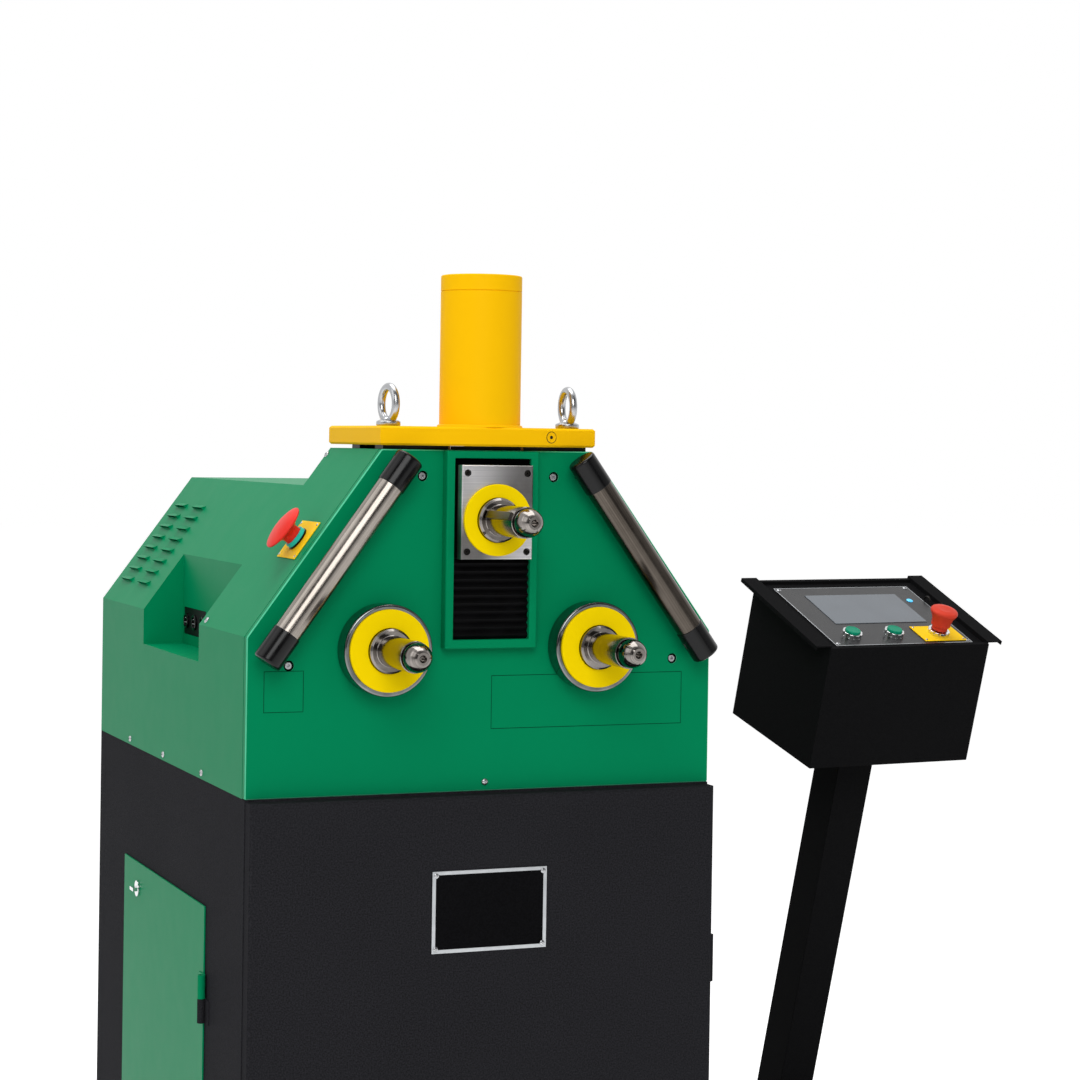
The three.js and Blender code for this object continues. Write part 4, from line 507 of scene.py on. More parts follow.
def plated(name, slot, colour, shade, roughness):
    """Bright plating with a little cloudiness from handling."""
    finish = Finish(name, slot, {"Metallic": 1.0})
    cloud = finish.spread(finish.noise(finish.place(), 60, 4.0, 0.6), 0.3, 0.75)
    finish.feed("Base Color", finish.mixed(cloud * 0.6, tint(colour), tint(shade)))
    finish.feed("Roughness", roughness + 0.12 * cloud)
    finish.bumps(finish.noise(finish.place(), 700, 2.0), 0.00001)
    return finish


def moulded(name, slot, colour, deep, roughness=0.3, grain=900, gloss=0.08):
    """Moulded plastic with a fine surface and faint flow in its colour."""
    finish = Finish(name, slot, {"IOR": 1.5, "Specular IOR Level": gloss})
    place = finish.place()
    flow = finish.spread(finish.noise(place, 45, 3.0), 0.3, 0.7)
    finish.feed("Base Color", finish.mixed(flow * 0.5, tint(colour), tint(deep)))
    finish.feed("Roughness", roughness + 0.08 * flow)
    finish.bumps(finish.noise(place, grain, 2.0), 0.00002, 0.6)
    return finish


def cast_paint(name, slot, colour, deep):
    """Painted casting: a coarse skin under thick paint."""
    finish = Finish(name, slot, {"IOR": 1.5})
    place = finish.place()
    skin = finish.noise(place, 160, 4.0, 0.6)
    drift = finish.spread(finish.noise(place, 12, 3.0), 0.3, 0.7)
    finish.feed("Base Color", finish.mixed(drift * 0.6 + skin * 0.3, tint(colour), tint(deep)))
    finish.feed("Roughness", 0.45 + 0.2 * skin)
    finish.bumps(skin, 0.0003)
    return finish


def pleated_cloth(name, slot):
    """Coated bellows cloth: black with a tight weave that only shows close up."""
    finish = Finish(name, slot, {"IOR": 1.45, "Specular IOR Level": 0.1})
    place = finish.place()
    weave = finish.node("ShaderNodeTexVoronoi", {"feature": "F1"}, {"Vector": place, "Scale": 900.0})
    dust = finish.spread(finish.noise(place, 40, 4.0), 0.45, 0.75)
    finish.feed("Base Color", finish.mixed(dust * 0.5, tint("#050506"), tint("#0D0D0F")))
    finish.feed("Roughness", 0.55 + 0.2 * dust)
    finish.bumps(weave, 0.0001)
    return finish


def display_glass(name, slot):
    """A dormant display behind glass, a little uneven in tone."""
    finish = Finish(name, slot, {"Roughness": 0.12, "IOR": 1.5})
    drift = finish.spread(finish.noise(finish.place(), 9, 2.0), 0.35, 0.65)
    finish.feed("Base Color", finish.mixed(drift * 0.8, tint("#53585F"), tint("#60676F")))
    finish.bumps(finish.noise(finish.place(), 120, 1.0), 0.000004)
    return finish


def lit_lens(name, slot):
    """A small blue lens that glows a little in its middle."""
    finish = Finish(name, slot, {"Roughness": 0.2, "Emission Strength": 0.6})
    ripple = finish.noise(finish.place(), 400, 2.0)
    blue = finish.mixed(ripple * 0.6, tint("#1FA4DE"), tint("#7FD4F5"))
    finish.feed("Base Color", blue)
    finish.feed("Emission Color", blue)
    return finish


GREEN = enamel("green_enamel", "green_paint", "#008757", "#007F52")
# The front plate's light green edge colour is a painted highlight
PLATE_GREEN = enamel("plate_enamel", "green_paint", "#008757", "#007F52", 0.36, "#6FE0B4")
YELLOW = enamel("amber_enamel", "yellow_paint", "#FFC508", "#F9B900", 0.4)
DISC_YELLOW = enamel("bright_yellow_enamel", "disc_yellow", "#FFDE00", "#FBD200", 0.42)
STOP_YELLOW = enamel("stop_plate_yellow", "yellow_paint", "#FFD21E", "#F4C40F", 0.4)
TEXTURED_BLACK = textured_paint("textured_black", "textured_black", "#1A1A1C", "#323236", 0.0002, 0.55)
SATIN_BLACK = textured_paint("satin_black", "satin_black", "#101011", "#1A1A1B", 0.00004, 0.45)
PANEL_BLACK = moulded("panel_black", "satin_black", "#202022", "#28282A", 0.25, 700, 0.3)
LABEL_LINE = textured_paint("label_line", "satin_black", "#06301F", "#0A3D29", 0.00002, 0.5)
TURNED = worked_steel("turned_steel", "ground_steel", "#57524E", "#A8A29D", (30, 1400, 30), roughness=0.06)
RING = worked_steel("polished_ring", "ground_steel", "#4E504F", "#9A9C9A", (30, 1200, 30), roughness=0.05)
# The ground face's dark grey towards two opposite quarters is painted shade
FACE = worked_steel("ground_face", "ground_steel", "#C6C4C6", "#F0EEEE", (6, 6, 1800), roughness=0.3,
                    painted_shade="#4F4C49")
KEY_STEEL = worked_steel("key_steel", "dark_steel", "#3A3835", "#5E5A56", (900, 12, 900), roughness=0.25)
DARK_STEEL = worked_steel("dark_steel", "dark_steel", "#24221F", "#3A3733", (40, 40, 200), roughness=0.38)
BLACKENED = plated("blackened_screw", "dark_steel", "#262422", "#3A3835", 0.35)
CHROME = plated("chrome", "chrome", "#E6E7E8", "#C9CBCD", 0.05)
ZINC = plated("zinc_plating", "zinc_plated", "#B9BABC", "#8F9194", 0.2)
SILVER = plated("silver_frame", "nameplate", "#C4C7CA", "#A9ACAF", 0.3)
NAMEPLATE = textured_paint("nameplate_black", "nameplate", "#0B0B0C", "#151517", 0.00001, 0.35)
SLEEVE = moulded("glossy_sleeve", "satin_black", "#060607", "#0E0E10", 0.16, 900, 0.25)
BELLOWS = pleated_cloth("bellows_cloth", "black_rubber")
SOCKET_PLASTIC = moulded("socket_plastic", "black_rubber", "#08080A", "#121214", 0.45, 500)
RED = moulded("signal_red", "red_plastic", "#E8352B", "#D62A22", 0.32)
DEEP_RED = moulded("console_red", "red_plastic", "#D8432F", "#C23826", 0.36)
TURQUOISE = moulded("turquoise", "turquoise_plastic", "#30C8C0", "#26B5AE", 0.3)
CAP_GREEN = moulded("cap_green", "green_plastic", "#0A8F6E", "#08805F", 0.25)
DISPLAY = display_glass("display_glass", "screen")
LENS = lit_lens("blue_lens", "screen")
CAST = cast_paint("grey_casting", "cast_grey", "#4A4A4C", "#38383A")
BRONZE = worked_steel("bronze", "bronze", "#8A5A28", "#C08A48", (40, 40, 300), roughness=0.35)


def alone(piece):
    """Makes a piece the only one selected."""
    bpy.ops.object.select_all(action="DESELECT")
    piece.select_set(True)
    bpy.context.view_layer.objects.active = piece


def started(name):
    """Names the primitive that was just added and puts its place into its mesh."""
    piece = bpy.context.object
    piece.name = name
    piece.data.name = name
    bpy.ops.object.transform_apply(location=True, rotation=True, scale=True)
    return piece


def moved(piece, matrix):
    piece.data.transform(matrix)
    return piece


def rounded(piece, edge, segments=2, angle=30):
    """Rounds every edge sharper than an angle."""
    alone(piece)
    bevel = piece.modifiers.new("edge", "BEVEL")
    bevel.width = edge * MM
    bevel.segments = segments
    bevel.limit_method = "ANGLE"
    bevel.angle_limit = math.radians(angle)
    bpy.ops.object.modifier_apply(modifier=bevel.name)
    return piece


def carved(piece, *tools):
    """Cuts tools out of a piece and throws them away."""
    for tool in tools:
        alone(piece)
        boolean = piece.modifiers.new("cut", "BOOLEAN")
        boolean.operation = "DIFFERENCE"
        boolean.solver = "EXACT"
        boolean.object = tool
        bpy.ops.object.modifier_apply(modifier=boolean.name)
        bpy.data.objects.remove(tool)
    return piece


def opened():
    """Opens the active mesh with everything selected."""
    bpy.ops.object.mode_set(mode="EDIT")
    bpy.ops.mesh.select_all(action="SELECT")


def faced_outward():
    """Turns every face of the open mesh outward and closes the mesh."""
    bpy.ops.mesh.select_all(action="SELECT")
    bpy.ops.mesh.normals_make_consistent(inside=False)
    bpy.ops.object.mode_set(mode="OBJECT")


def joined(name, *pieces):
    """Several shapes of one finish as one piece."""
    alone(pieces[0])
    for piece in pieces:
        piece.select_set(True)
    bpy.ops.object.join()
    made = bpy.context.object
    made.name = name
    return made


def copied(piece, name, matrix):
    """A copy with its own mesh, in another place."""
    twin = bpy.data.objects.new(name, piece.data.copy())
    bpy.context.scene.collection.objects.link(twin)
    twin.data.transform(matrix)
    return twin


def inset(span, margin):
    """A span with a margin taken off both ends."""
    return span[0] + margin, span[1] - margin


def block(name, x, y, z, edge=0.0):
    """A box from low to high on each axis, with rounded edges."""
    spans = (x, y, z)
    bpy.ops.mesh.primitive_cube_add(
        size=1,
        location=[(low + high) / 2 * MM for low, high in spans],
        scale=[(high - low) * MM for low, high in spans],
    )
    piece = started(name)
    return rounded(piece, edge) if edge else piece


def turned(name, profile, sides=FINE, closed=False):
    """A turned piece: a circle extruded and resized through (radius, height) steps along Z."""
    radius, height = profile[0]
    bpy.ops.mesh.primitive_circle_add(
        vertices=sides,
        radius=radius * MM,
        fill_type="NOTHING" if closed else "NGON",
        location=(0, 0, height * MM),
    )
    piece = started(name)
    opened()
    for next_radius, next_height in profile[1:] + (profile[:1] if closed else []):
        step = (0, 0, (next_height - height) * MM)
        bpy.ops.mesh.extrude_region_move(TRANSFORM_OT_translate={"value": step})
        share = next_radius / radius
        bpy.ops.transform.resize(value=(share, share, 1), center_override=(0, 0, next_height * MM))
        radius, height = next_radius, next_height
    bpy.ops.mesh.select_all(action="SELECT")
    bpy.ops.mesh.remove_doubles(threshold=TURNED_WELD * MM)
    faced_outward()
    return piece


def arc(radius, height, size, start, end, steps=6):
    """Profile points on a quarter round or any other stretch of a circle, angles in degrees."""
    angles = [math.radians(start + (end - start) * i / steps) for i in range(steps + 1)]
    return [(radius + size * math.cos(a), height + size * math.sin(a)) for a in angles]


def below(top, outline):
    """Profile points from radii and distances below a height."""
    return [(radius, top - drop) for radius, drop in outline]


def finished(piece, finish, body="machine", nodes=(), smooth=32):
    """Shades a piece, gives it its finish, ties it to its body and hides the solids it stands for."""
    alone(piece)
    bpy.ops.object.shade_smooth_by_angle(angle=math.radians(smooth))
    even = piece.modifiers.new("even", "WEIGHTED_NORMAL")
    even.keep_sharp = True
    bpy.ops.object.modifier_apply(modifier=even.name)
    piece.data.materials.clear()
    piece.data.materials.append(finish.material)
    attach(piece, body)
    if nodes:
        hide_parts(*nodes)
    return piece


def scattered(pattern, name, places, finish, body="machine"):
    """Numbered copies of one small piece in several places."""
    for i, place in enumerate(places):
        finished(copied(pattern, f"{name}_{i}", place), finish, body)
    bpy.data.objects.remove(pattern)


def body_of(node):
    """The body that holds a solid."""
    bodies = frame["record"]["behaviour"]["bodies"]
    return next(body for body, members in bodies.items() if node in members)


def softened(node, finish, edge):
    """A copy of a solid with its flat faces whole again and its edges rounded."""
    piece = copied(frame["nodes"][node], f"{node}_shell", Matrix.Identity(4))
    alone(piece)
    opened()
    bpy.ops.mesh.remove_doubles(threshold=SOLID_WELD * MM)
    bpy.ops.mesh.dissolve_limited(angle_limit=math.radians(FLAT_ANGLE))
    bpy.ops.object.mode_set(mode="OBJECT")
    rounded(piece, edge, angle=SHARP_ANGLE)
    return finished(piece, finish, body_of(node), (node,))


def dress(node, finish):
    """Gives a solid that keeps its own shape its finish."""
    mesh = frame["nodes"][node].data
    mesh.materials.clear()
    mesh.materials.append(finish.material)


def socket_screw(radius, height, hexagon):
    """A cap screw head with a six-sided socket, standing on Z = 0."""
    edge = radius * HEAD_EDGE_SHARE
    profile = [(radius, 0), (radius, height - edge)] + arc(radius - edge, height - edge, edge, 0, 90, 3)
    head = turned("cap_screw", profile, COARSE)
    tool = turned("hexagon", [(hexagon, height * SOCKET_FLOOR_SHARE), (hexagon, height * 2)], HEXAGON)
    return carved(head, tool)


def dome_screw(radius, height):
    """A low dome head with a six-sided socket."""
    rim = height * DOME_RIM_SHARE
    profile = [(radius, 0), (radius, rim)]
    profile += [(radius * math.cos(a), rim + (height - rim) * math.sin(a)) for a in DOME_ANGLES]
    head = turned("dome", profile, COARSE)
    hexagon = radius * DOME_SOCKET_SHARE
    tool = turned("hexagon", [(hexagon, height / 2), (hexagon, height * 2)], HEXAGON)
    return carved(head, tool)


def hood_front_plate():
    """The thick front plate: a sheet trimmed by both slopes, with its window, bores and counterbores."""
    bpy.ops.mesh.primitive_plane_add(size=1)
    plate = started("front_plate_shell")
    moved(plate, Matrix.Diagonal((2 * HOOD_HALF * MM, HEAD_RISE * MM, 1, 1)))
    moved(plate, shift(0, HEAD_RISE / 2, 0))
    alone(plate)
    opened()
    for side in (-1, 1):
        bpy.ops.mesh.select_all(action="SELECT")
        bpy.ops.mesh.bisect(
            plane_co=(side * HOOD_HALF * MM, FOLD_RISE * MM, 0),
            plane_no=(side * math.sin(SLOPE_ANGLE), math.cos(SLOPE_ANGLE), 0),
            clear_outer=True,
        )
    bpy.ops.mesh.select_all(action="SELECT")
    bpy.ops.mesh.extrude_region_move(TRANSFORM_OT_translate={"value": (0, 0, -FRONT_PLATE * MM)})
    faced_outward()
    rounded(plate, PLATE_EDGE, 3)
    through = (-2 * FRONT_PLATE, 2 * FRONT_PLATE)
    tools = [block("window", (-WINDOW_HALF, WINDOW_HALF), (WINDOW_BASE, WINDOW_TOP), through)]
    for side in (-1, 1):
        bore = turned("bore", [(HOUSING_BORE, reach) for reach in through])
        tools.append(moved(bore, shift(side * LOWER_ROLL_X, LOWER_ROLL_RISE, 0)))
    for x, rise in PLATE_SCREWS:
        profile = [(COUNTERBORE_RADIUS, -COUNTERBORE_DEPTH), (COUNTERBORE_RADIUS, through[1])]
        tools.append(moved(turned("bore", profile, MEDIUM), shift(x, rise, 0)))
    carved(plate, *tools)
    moved(plate, facing(0, 0))
    finished(plate, PLATE_GREEN, "machine", ("front_plate",), smooth=25)


def slot_seal():
    """A dark strip that closes the ram's slot under the top plate."""
    finished(block("slot_seal_strip", *SLOT_SEAL, FINE_EDGE), DARK_STEEL)


def hood_screws():
    """Cap screws in the front plate, each with a dark funnel of painted shade round its head in the
    counterbore, and dome screws round the hood.
    """
    cap = socket_screw(*PLATE_SCREW)
    # A dark funnel round each head fills the counterbore with painted shade
    ring = turned("counterbore_shade", COUNTERBORE_SHADE, MEDIUM, closed=True)
    for i, (x, rise) in enumerate(PLATE_SCREWS):
        seat = facing(x, rise, -COUNTERBORE_DEPTH)
        finished(copied(cap, f"plate_screw_{i}", seat), ZINC)
        finished(copied(ring, f"plate_screw_shade_{i}", seat), BLACKENED)
    bpy.data.objects.remove(cap)
    bpy.data.objects.remove(ring)
    places = [facing(0, FRONT_DOME_RISE)]
    for side in (-1, 1):
        places += [on_slope(side, y, along) for y, along in SLOPE_DOMES]
        places += [on_side(side, y, SIDE_DOME_RISE) for y in SIDE_DOMES]
    scattered(dome_screw(*HOOD_SCREW), "hood_screw", places, ZINC)


def label_outlines():
    """Thin outlines on the front plate where labels sit; their fields stay bare."""
    for name, x, rise in LABEL_FIELDS:
        field = block(f"{name}_label_outline", x, rise, LABEL_RELIEF)
        spans = (inset(x, LABEL_LINE_WIDTH), inset(rise, LABEL_LINE_WIDTH))
        carved(field, block("field", *spans, (-OVERRUN, OVERRUN)))
        finished(moved(field, facing(0, 0)), LABEL_LINE)


def ram_screws():
    """Dark cap screws in the ram's face plate."""
    places = [facing(x, rise, RAM_SCREW_SEAT) for x, rise in RAM_SCREWS]
    scattered(socket_screw(*RAM_SCREW), "ram_screw", places, BLACKENED, "ram")


def bellows(name, low, high, folds):
    """A folded cloth: one edge extruded up in a zigzag and given its thickness."""
    box_low, box_high = (Vector(corner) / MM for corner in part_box(name))
    rear = box_low.y + BELLOWS_INSET + BELLOWS_DEPTH
    bpy.ops.mesh.primitive_plane_add(size=1)
    cloth = started(f"{name}_cloth")
    opened()
    bpy.ops.mesh.delete(type="ONLY_FACE")
    bpy.ops.object.mode_set(mode="OBJECT")
    opened()
    bpy.ops.transform.resize(value=((box_high.x - box_low.x) * MM, 0, 0))
    bpy.ops.mesh.remove_doubles(threshold=SOLID_WELD * MM)
    bpy.ops.mesh.select_all(action="SELECT")
    bpy.ops.transform.translate(value=(0, rear * MM, low * MM))
    pitch = (high - low) / folds
    for _ in range(folds):
        for forward, rise in FOLD_SHARES:
            step = (0, forward * BELLOWS_DEPTH * MM, rise * pitch * MM)
            bpy.ops.mesh.extrude_region_move(TRANSFORM_OT_translate={"value": step})
    faced_outward()
    thick = cloth.modifiers.new("cloth", "SOLIDIFY")
    thick.thickness = BELLOWS_CLOTH * MM
    thick.offset = 0
    bpy.ops.object.modifier_apply(modifier=thick.name)
    return finished(cloth, BELLOWS, "machine", (name,), smooth=50)


def ram_bellows():
    """The folds above and below the ram, both held by the machine."""
    low, high = (corner.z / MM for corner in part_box("lower_bellows"))
    lower = bellows("lower_bellows", low, high, LOWER_FOLDS)
    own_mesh(lower)
    upper_low, upper_high = (corner.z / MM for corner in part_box("upper_bellows"))
    upper = bellows("upper_bellows", upper_low, upper_high, UPPER_FOLDS)
    upper.parent = None
    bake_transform(upper)
    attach(upper, "machine")


def roll(name, x, rise, carrier, disc_radius, key_turn):
    """A keyed shaft and its key, which spin as the body of that name, and the disc on its carrier."""
    key_top = SEAT_RADIUS + KEY_STANDOUT
    width = (-KEY_WIDTH / 2, KEY_WIDTH / 2)
    reach = (SHOULDER_FRONT + KEY_MARGIN, GROOVE_START - KEY_MARGIN)
    place = facing(x, rise)
    key_place = turn("Z", -math.radians(key_turn))
    shaft = turned(f"{name}_shaft_turned", SHAFT)
    slot = block("key_slot", width, (key_top - KEY_HEIGHT, key_top + OVERRUN), reach)
    carved(shaft, moved(slot, key_place))
    finished(moved(shaft, place), TURNED, name, (f"{name}_shaft",))
    height = (key_top - KEY_HEIGHT, key_top)
    key = block(f"{name}_key_ground", inset(width, KEY_FIT), height, inset(reach, KEY_FIT), KEY_EDGE)
    finished(moved(key, place @ key_place), KEY_STEEL, name, (f"{name}_key",))
    disc_name = name.replace("_roll", "_cover_disc")
    front = HOUSING_FRONT + DISC_THICKNESS
    inner = SHOULDER_RADIUS + RUNNING_FIT
    profile = [(inner, HOUSING_FRONT), (inner, front - DISC_BEVEL), (inner + DISC_BEVEL, front)]
    profile += arc(disc_radius - DISC_ROUND, front - DISC_ROUND, DISC_ROUND, 90, 0, 4)
    profile += [(disc_radius, HOUSING_FRONT)]
    disc = turned(f"{disc_name}_painted", profile, closed=True)
    finished(moved(disc, place), DISC_YELLOW, carrier, (disc_name,))


def bearing_housing(name, x):
    """A polished steel ring that stands out of the front plate."""
    low = HOOD_FRONT_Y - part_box(f"{name}_bearing_housing")[1].y / MM
    inner = SHOULDER_RADIUS + RUNNING_FIT
    edge = HOUSING_EDGE
    profile = [(inner, low), (inner, HOUSING_FRONT), (HOUSING_RADIUS - edge, HOUSING_FRONT)]
    profile += arc(HOUSING_RADIUS - edge, HOUSING_FRONT - edge, edge, 80, 0, 5)
    profile += HOUSING_WAIST + [(HOUSING_WAIST[-1][0], low)]
    ring = turned(f"{name}_housing_ring", profile, closed=True)
    finished(moved(ring, facing(x, LOWER_ROLL_RISE)), RING, "machine", (f"{name}_bearing_housing",))


def rolls():
    sides = ((-LOWER_ROLL_X, "lower_left"), (LOWER_ROLL_X, "lower_right"))
    for x, name in sides:
        roll(f"{name}_roll", x, LOWER_ROLL_RISE, "machine", LOWER_DISC_RADIUS, LOWER_KEY_TURN)
    roll("upper_roll", 0, UPPER_ROLL_RISE, "ram", UPPER_DISC_RADIUS, UPPER_KEY_TURN)
    for x, name in sides:
        bearing_housing(name, x)


def face_bar(side, name, tones):
    """A ground bar in two glossy sleeves, each on a short foot."""
    run = (BAR_UPPER[0] - BAR_LOWER[0], BAR_UPPER[1] - BAR_LOWER[1])
    length = math.hypot(*run)
    lean = math.atan2(-run[0], run[1])
    along_bar = (0, side * lean, 0)
    # The tones differ by side only as painted light on the left bar and painted shade on the right
    steel = worked_steel(f"{name}_bar_steel", "ground_steel", *tones, (900, 900, 3), along_bar, 0.14)
    place = HEAD @ shift(side * BAR_LOWER[0], -BAR_STANDOFF, BAR_LOWER[1]) @ turn("Y", -side * lean)
    start = SLEEVE_LENGTH - BAR_LAP
    bar = turned(f"{name}_face_bar_ground", [(BAR_RADIUS, start), (BAR_RADIUS, length - start)])
    finished(moved(bar, place), steel, "machine", (f"{name}_face_bar",))
    profile = [(SLEEVE_RADIUS - SLEEVE_END_WIDTH, 0)]
    profile += arc(SLEEVE_RADIUS - SLEEVE_ROUND, SLEEVE_ROUND, SLEEVE_ROUND, -90, 0, 5)
    profile += arc(SLEEVE_RADIUS - SLEEVE_LIP, SLEEVE_LENGTH - SLEEVE_LIP, SLEEVE_LIP, 0, 90, 3)
    profile += [(BAR_RADIUS - BAR_SINK, SLEEVE_LENGTH)]
    sleeve = turned("sleeve", profile)
    mirrored = shift(0, 0, length) @ turn("X", math.pi)
    for end, matrix in (("lower", place), ("upper", place @ mirrored)):
        finished(copied(sleeve, f"{name}_{end}_sleeve", matrix), SLEEVE)
    bpy.data.objects.remove(sleeve)
    for end, height in (("lower", SLEEVE_LENGTH / 2), ("upper", length - SLEEVE_LENGTH / 2)):
        foot = turned(f"{name}_{end}_foot", BAR_FOOT, MEDIUM)
        centre = place @ Vector((0, 0, height * MM))
        moved(foot, turn("X", math.pi / 2))
        moved(foot, Matrix.Translation((centre.x, HOOD_FRONT_Y * MM, centre.z)))
        finished(foot, BLACKENED)


def cylinder():
    """The yellow cylinder with the joint line of its cap."""
    base = CABINET_TOP + PLATE_TOP
    top = CABINET_TOP + CYLINDER_TOP
    joint = top - CAP_HEIGHT
    r = CYLINDER_RADIUS
    place = shift(0, HOOD_FRONT_Y + CYLINDER_Y, 0)
    profile = [(r - CYLINDER_WALL, base)] + arc(r, base, CYLINDER_SEAM, 0, 90, 4)
    profile += [(r, joint - CAP_BEVELS[0]), (r - CAP_GROOVE, joint)]
    tube = turned("cylinder_painted", profile)
    finished(moved(tube, place), YELLOW, "machine", ("cylinder_tube",))
    profile = [(r - CAP_GROOVE, joint), (r, joint + CAP_BEVELS[1])]
    profile += arc(r - CAP_ROUND, top - CAP_ROUND, CAP_ROUND, 0, 90, 5)
    cap = turned("cylinder_cap_painted", profile)
    finished(moved(cap, place), YELLOW, "machine", ("cylinder_cap",))


def port_plug():
    """The plug in the top plate's slanted front edge; the dark ring in the groove round it and the dark
    cup in its socket are painted shade.
    """
    port = HEAD @ shift(*PORT_PLACE) @ turn("Z", FACET_ANGLE) @ turn("X", math.pi / 2)
    plug = turned("port_plug", PORT_PLUG, MEDIUM)
    finished(moved(plug, port), YELLOW)
    groove = turned("port_groove_shade", PORT_GROOVE_SHADE, MEDIUM, closed=True)
    finished(moved(groove, port), BLACKENED)
    hole = turned("port_hole_shade", PORT_HOLE_SHADE, COARSE)
    finished(moved(hole, port), BLACKENED)


def eye_bolts():
    """Forged and plated lifting eyes."""
    for name, x, y, angle in EYE_PLACES:
        centre = EYE_HEIGHT - EYE_RING_RADIUS - EYE_WIRE_RADIUS
        bpy.ops.mesh.primitive_torus_add(
            major_segments=64, minor_segments=COARSE, major_radius=EYE_RING_RADIUS * MM,
            minor_radius=EYE_WIRE_RADIUS * MM, rotation=(0, math.pi / 2, 0), location=(0, 0, centre * MM))
        ring = started("ring")
        collar = turned("collar", EYE_COLLAR + arc(*EYE_COLLAR_ROUND, 0, 60, 3) + EYE_NECK, MEDIUM)
        eye = joined(f"{name}_eye_forged", ring, collar)
        moved(eye, HEAD @ shift(x, y, PLATE_TOP) @ turn("Z", angle))
        finished(eye, ZINC, "machine", (f"{name}_eye_bolt",), smooth=45)


def stop_plate(name, place, size, node):
    """A yellow plate with rounded corners and four rivets."""
    x, y = size[0] / 2, size[1] / 2
    depth = (STOP_PLATE_GAP, STOP_PLATE)
    plate = block(f"{name}_plate_painted", (-x, x), (-y, y), depth, STOP_PLATE_EDGE)
    finished(moved(plate, place), STOP_YELLOW, "machine", (node,))
    across, up = x - RIVET_INSET, y - RIVET_INSET
    places = [place @ shift(px, py, STOP_PLATE) for py in (-up, up) for px in (-across, across)]
    scattered(turned("rivet", RIVET, COARSE), f"{name}_rivet", places, ZINC)


def side_stop():
    """The mushroom stop button on the left slope, whose neck slides in a bored collar."""
    place = on_slope(-1, SIDE_STOP_Y, SIDE_STOP_ALONG)
    stop_plate("side_stop", place, SIDE_PLATE, "side_stop_plate")
    seat = turned("side_stop_seat", SIDE_SEAT, MEDIUM, closed=True)
    finished(moved(seat, place), SLEEVE)
    profile = SIDE_COLLAR + arc(*SIDE_COLLAR_ROUND, 0, 90, 3) + SIDE_COLLAR_END
    collar = turned("side_stop_collar", profile, closed=True)
    finished(moved(collar, place), TURQUOISE, "machine", ("side_stop_body",))
    low, high = stop_heights("side_stop_head", place)
    radius, drop, size = MUSHROOM_ROUND
    profile = [(MUSHROOM_UNDERSIDE[0][0], low)] + below(high, MUSHROOM_UNDERSIDE)
    profile += arc(radius, high - drop, size, -60, 70, 6) + below(high, MUSHROOM_CROWN)
    head = turned("side_stop_mushroom", profile)
    finished(moved(head, place), RED, "side_stop_knob", ("side_stop_head",), smooth=50)


def stop_heights(node, place):
    """How far a solid reaches along the Z of a frame, in millimetres."""
    inverse = place.inverted()
    heights = [(inverse @ v.co).z / MM for v in frame["nodes"][node].data.vertices]
    return min(heights), max(heights)


def notched(piece, radius, low, high, count, width):
    """Cuts small flutes round the rim of a turned piece."""
    tools = []
    for i in range(count):
        flute = turned("flute", [(width, low), (width, high)], COARSE // 2)
        angle = 2 * math.pi * i / count
        tools.append(moved(flute, shift(radius * math.cos(angle), radius * math.sin(angle), 0)))
    return carved(piece, *tools)


def panel_stop():
    """The stop button on the console, with its fluted chrome collar."""
    place = PANEL @ shift(*PANEL_STOP, 0)
    stop_plate("console_stop", place, PANEL_PLATE, "console_stop_plate")
    profile = PANEL_COLLAR + arc(*PANEL_COLLAR_ROUND, 0, 90, 4) + PANEL_COLLAR_BORE
    collar = turned("console_stop_collar", profile)
    notched(collar, **PANEL_FLUTES)
    finished(moved(collar, place), CHROME, "machine", ("console_stop_body",))
    low, high = stop_heights("console_stop_head", place)
    radius, drop, size = CUP_LIP
    profile = [(CUP_SIDE[0][0], low)] + below(high, CUP_SIDE)
    profile += arc(radius, high - drop, size, -25, 78, 8) + below(high, CUP_DISH)
    head = turned("console_stop_cup", profile)
    finished(moved(head, place), DEEP_RED, "console_stop_knob", ("console_stop_head",), smooth=50)


def push_buttons():
    """Green caps in chrome bezels."""
    for name, x in BUTTONS:
        place = PANEL @ shift(x, BUTTON_Y, 0)
        bezel = turned(f"{name}_bezel_plated", BEZEL + arc(*BEZEL_ROUND, 0, 90, 3) + BEZEL_BORE)
        notched(bezel, **BEZEL_FLUTES)
        finished(moved(bezel, place), CHROME, "machine", (f"{name}_button_bezel",))
        low, high = stop_heights(f"{name}_button_cap", place)
        edge = high - CAP_EDGE
        profile = [(CAP_STEM, low), (CAP_STEM, CAP_BASE), (CAP_RADIUS, CAP_BASE), (CAP_RADIUS, edge)]
        profile += arc(CAP_RADIUS - CAP_EDGE, edge, CAP_EDGE, 0, 90, 4) + below(high, CAP_DISH)
        cap = turned(f"{name}_cap_moulded", profile)
        finished(moved(cap, place), CAP_GREEN, f"{name}_button", (f"{name}_button_cap",))


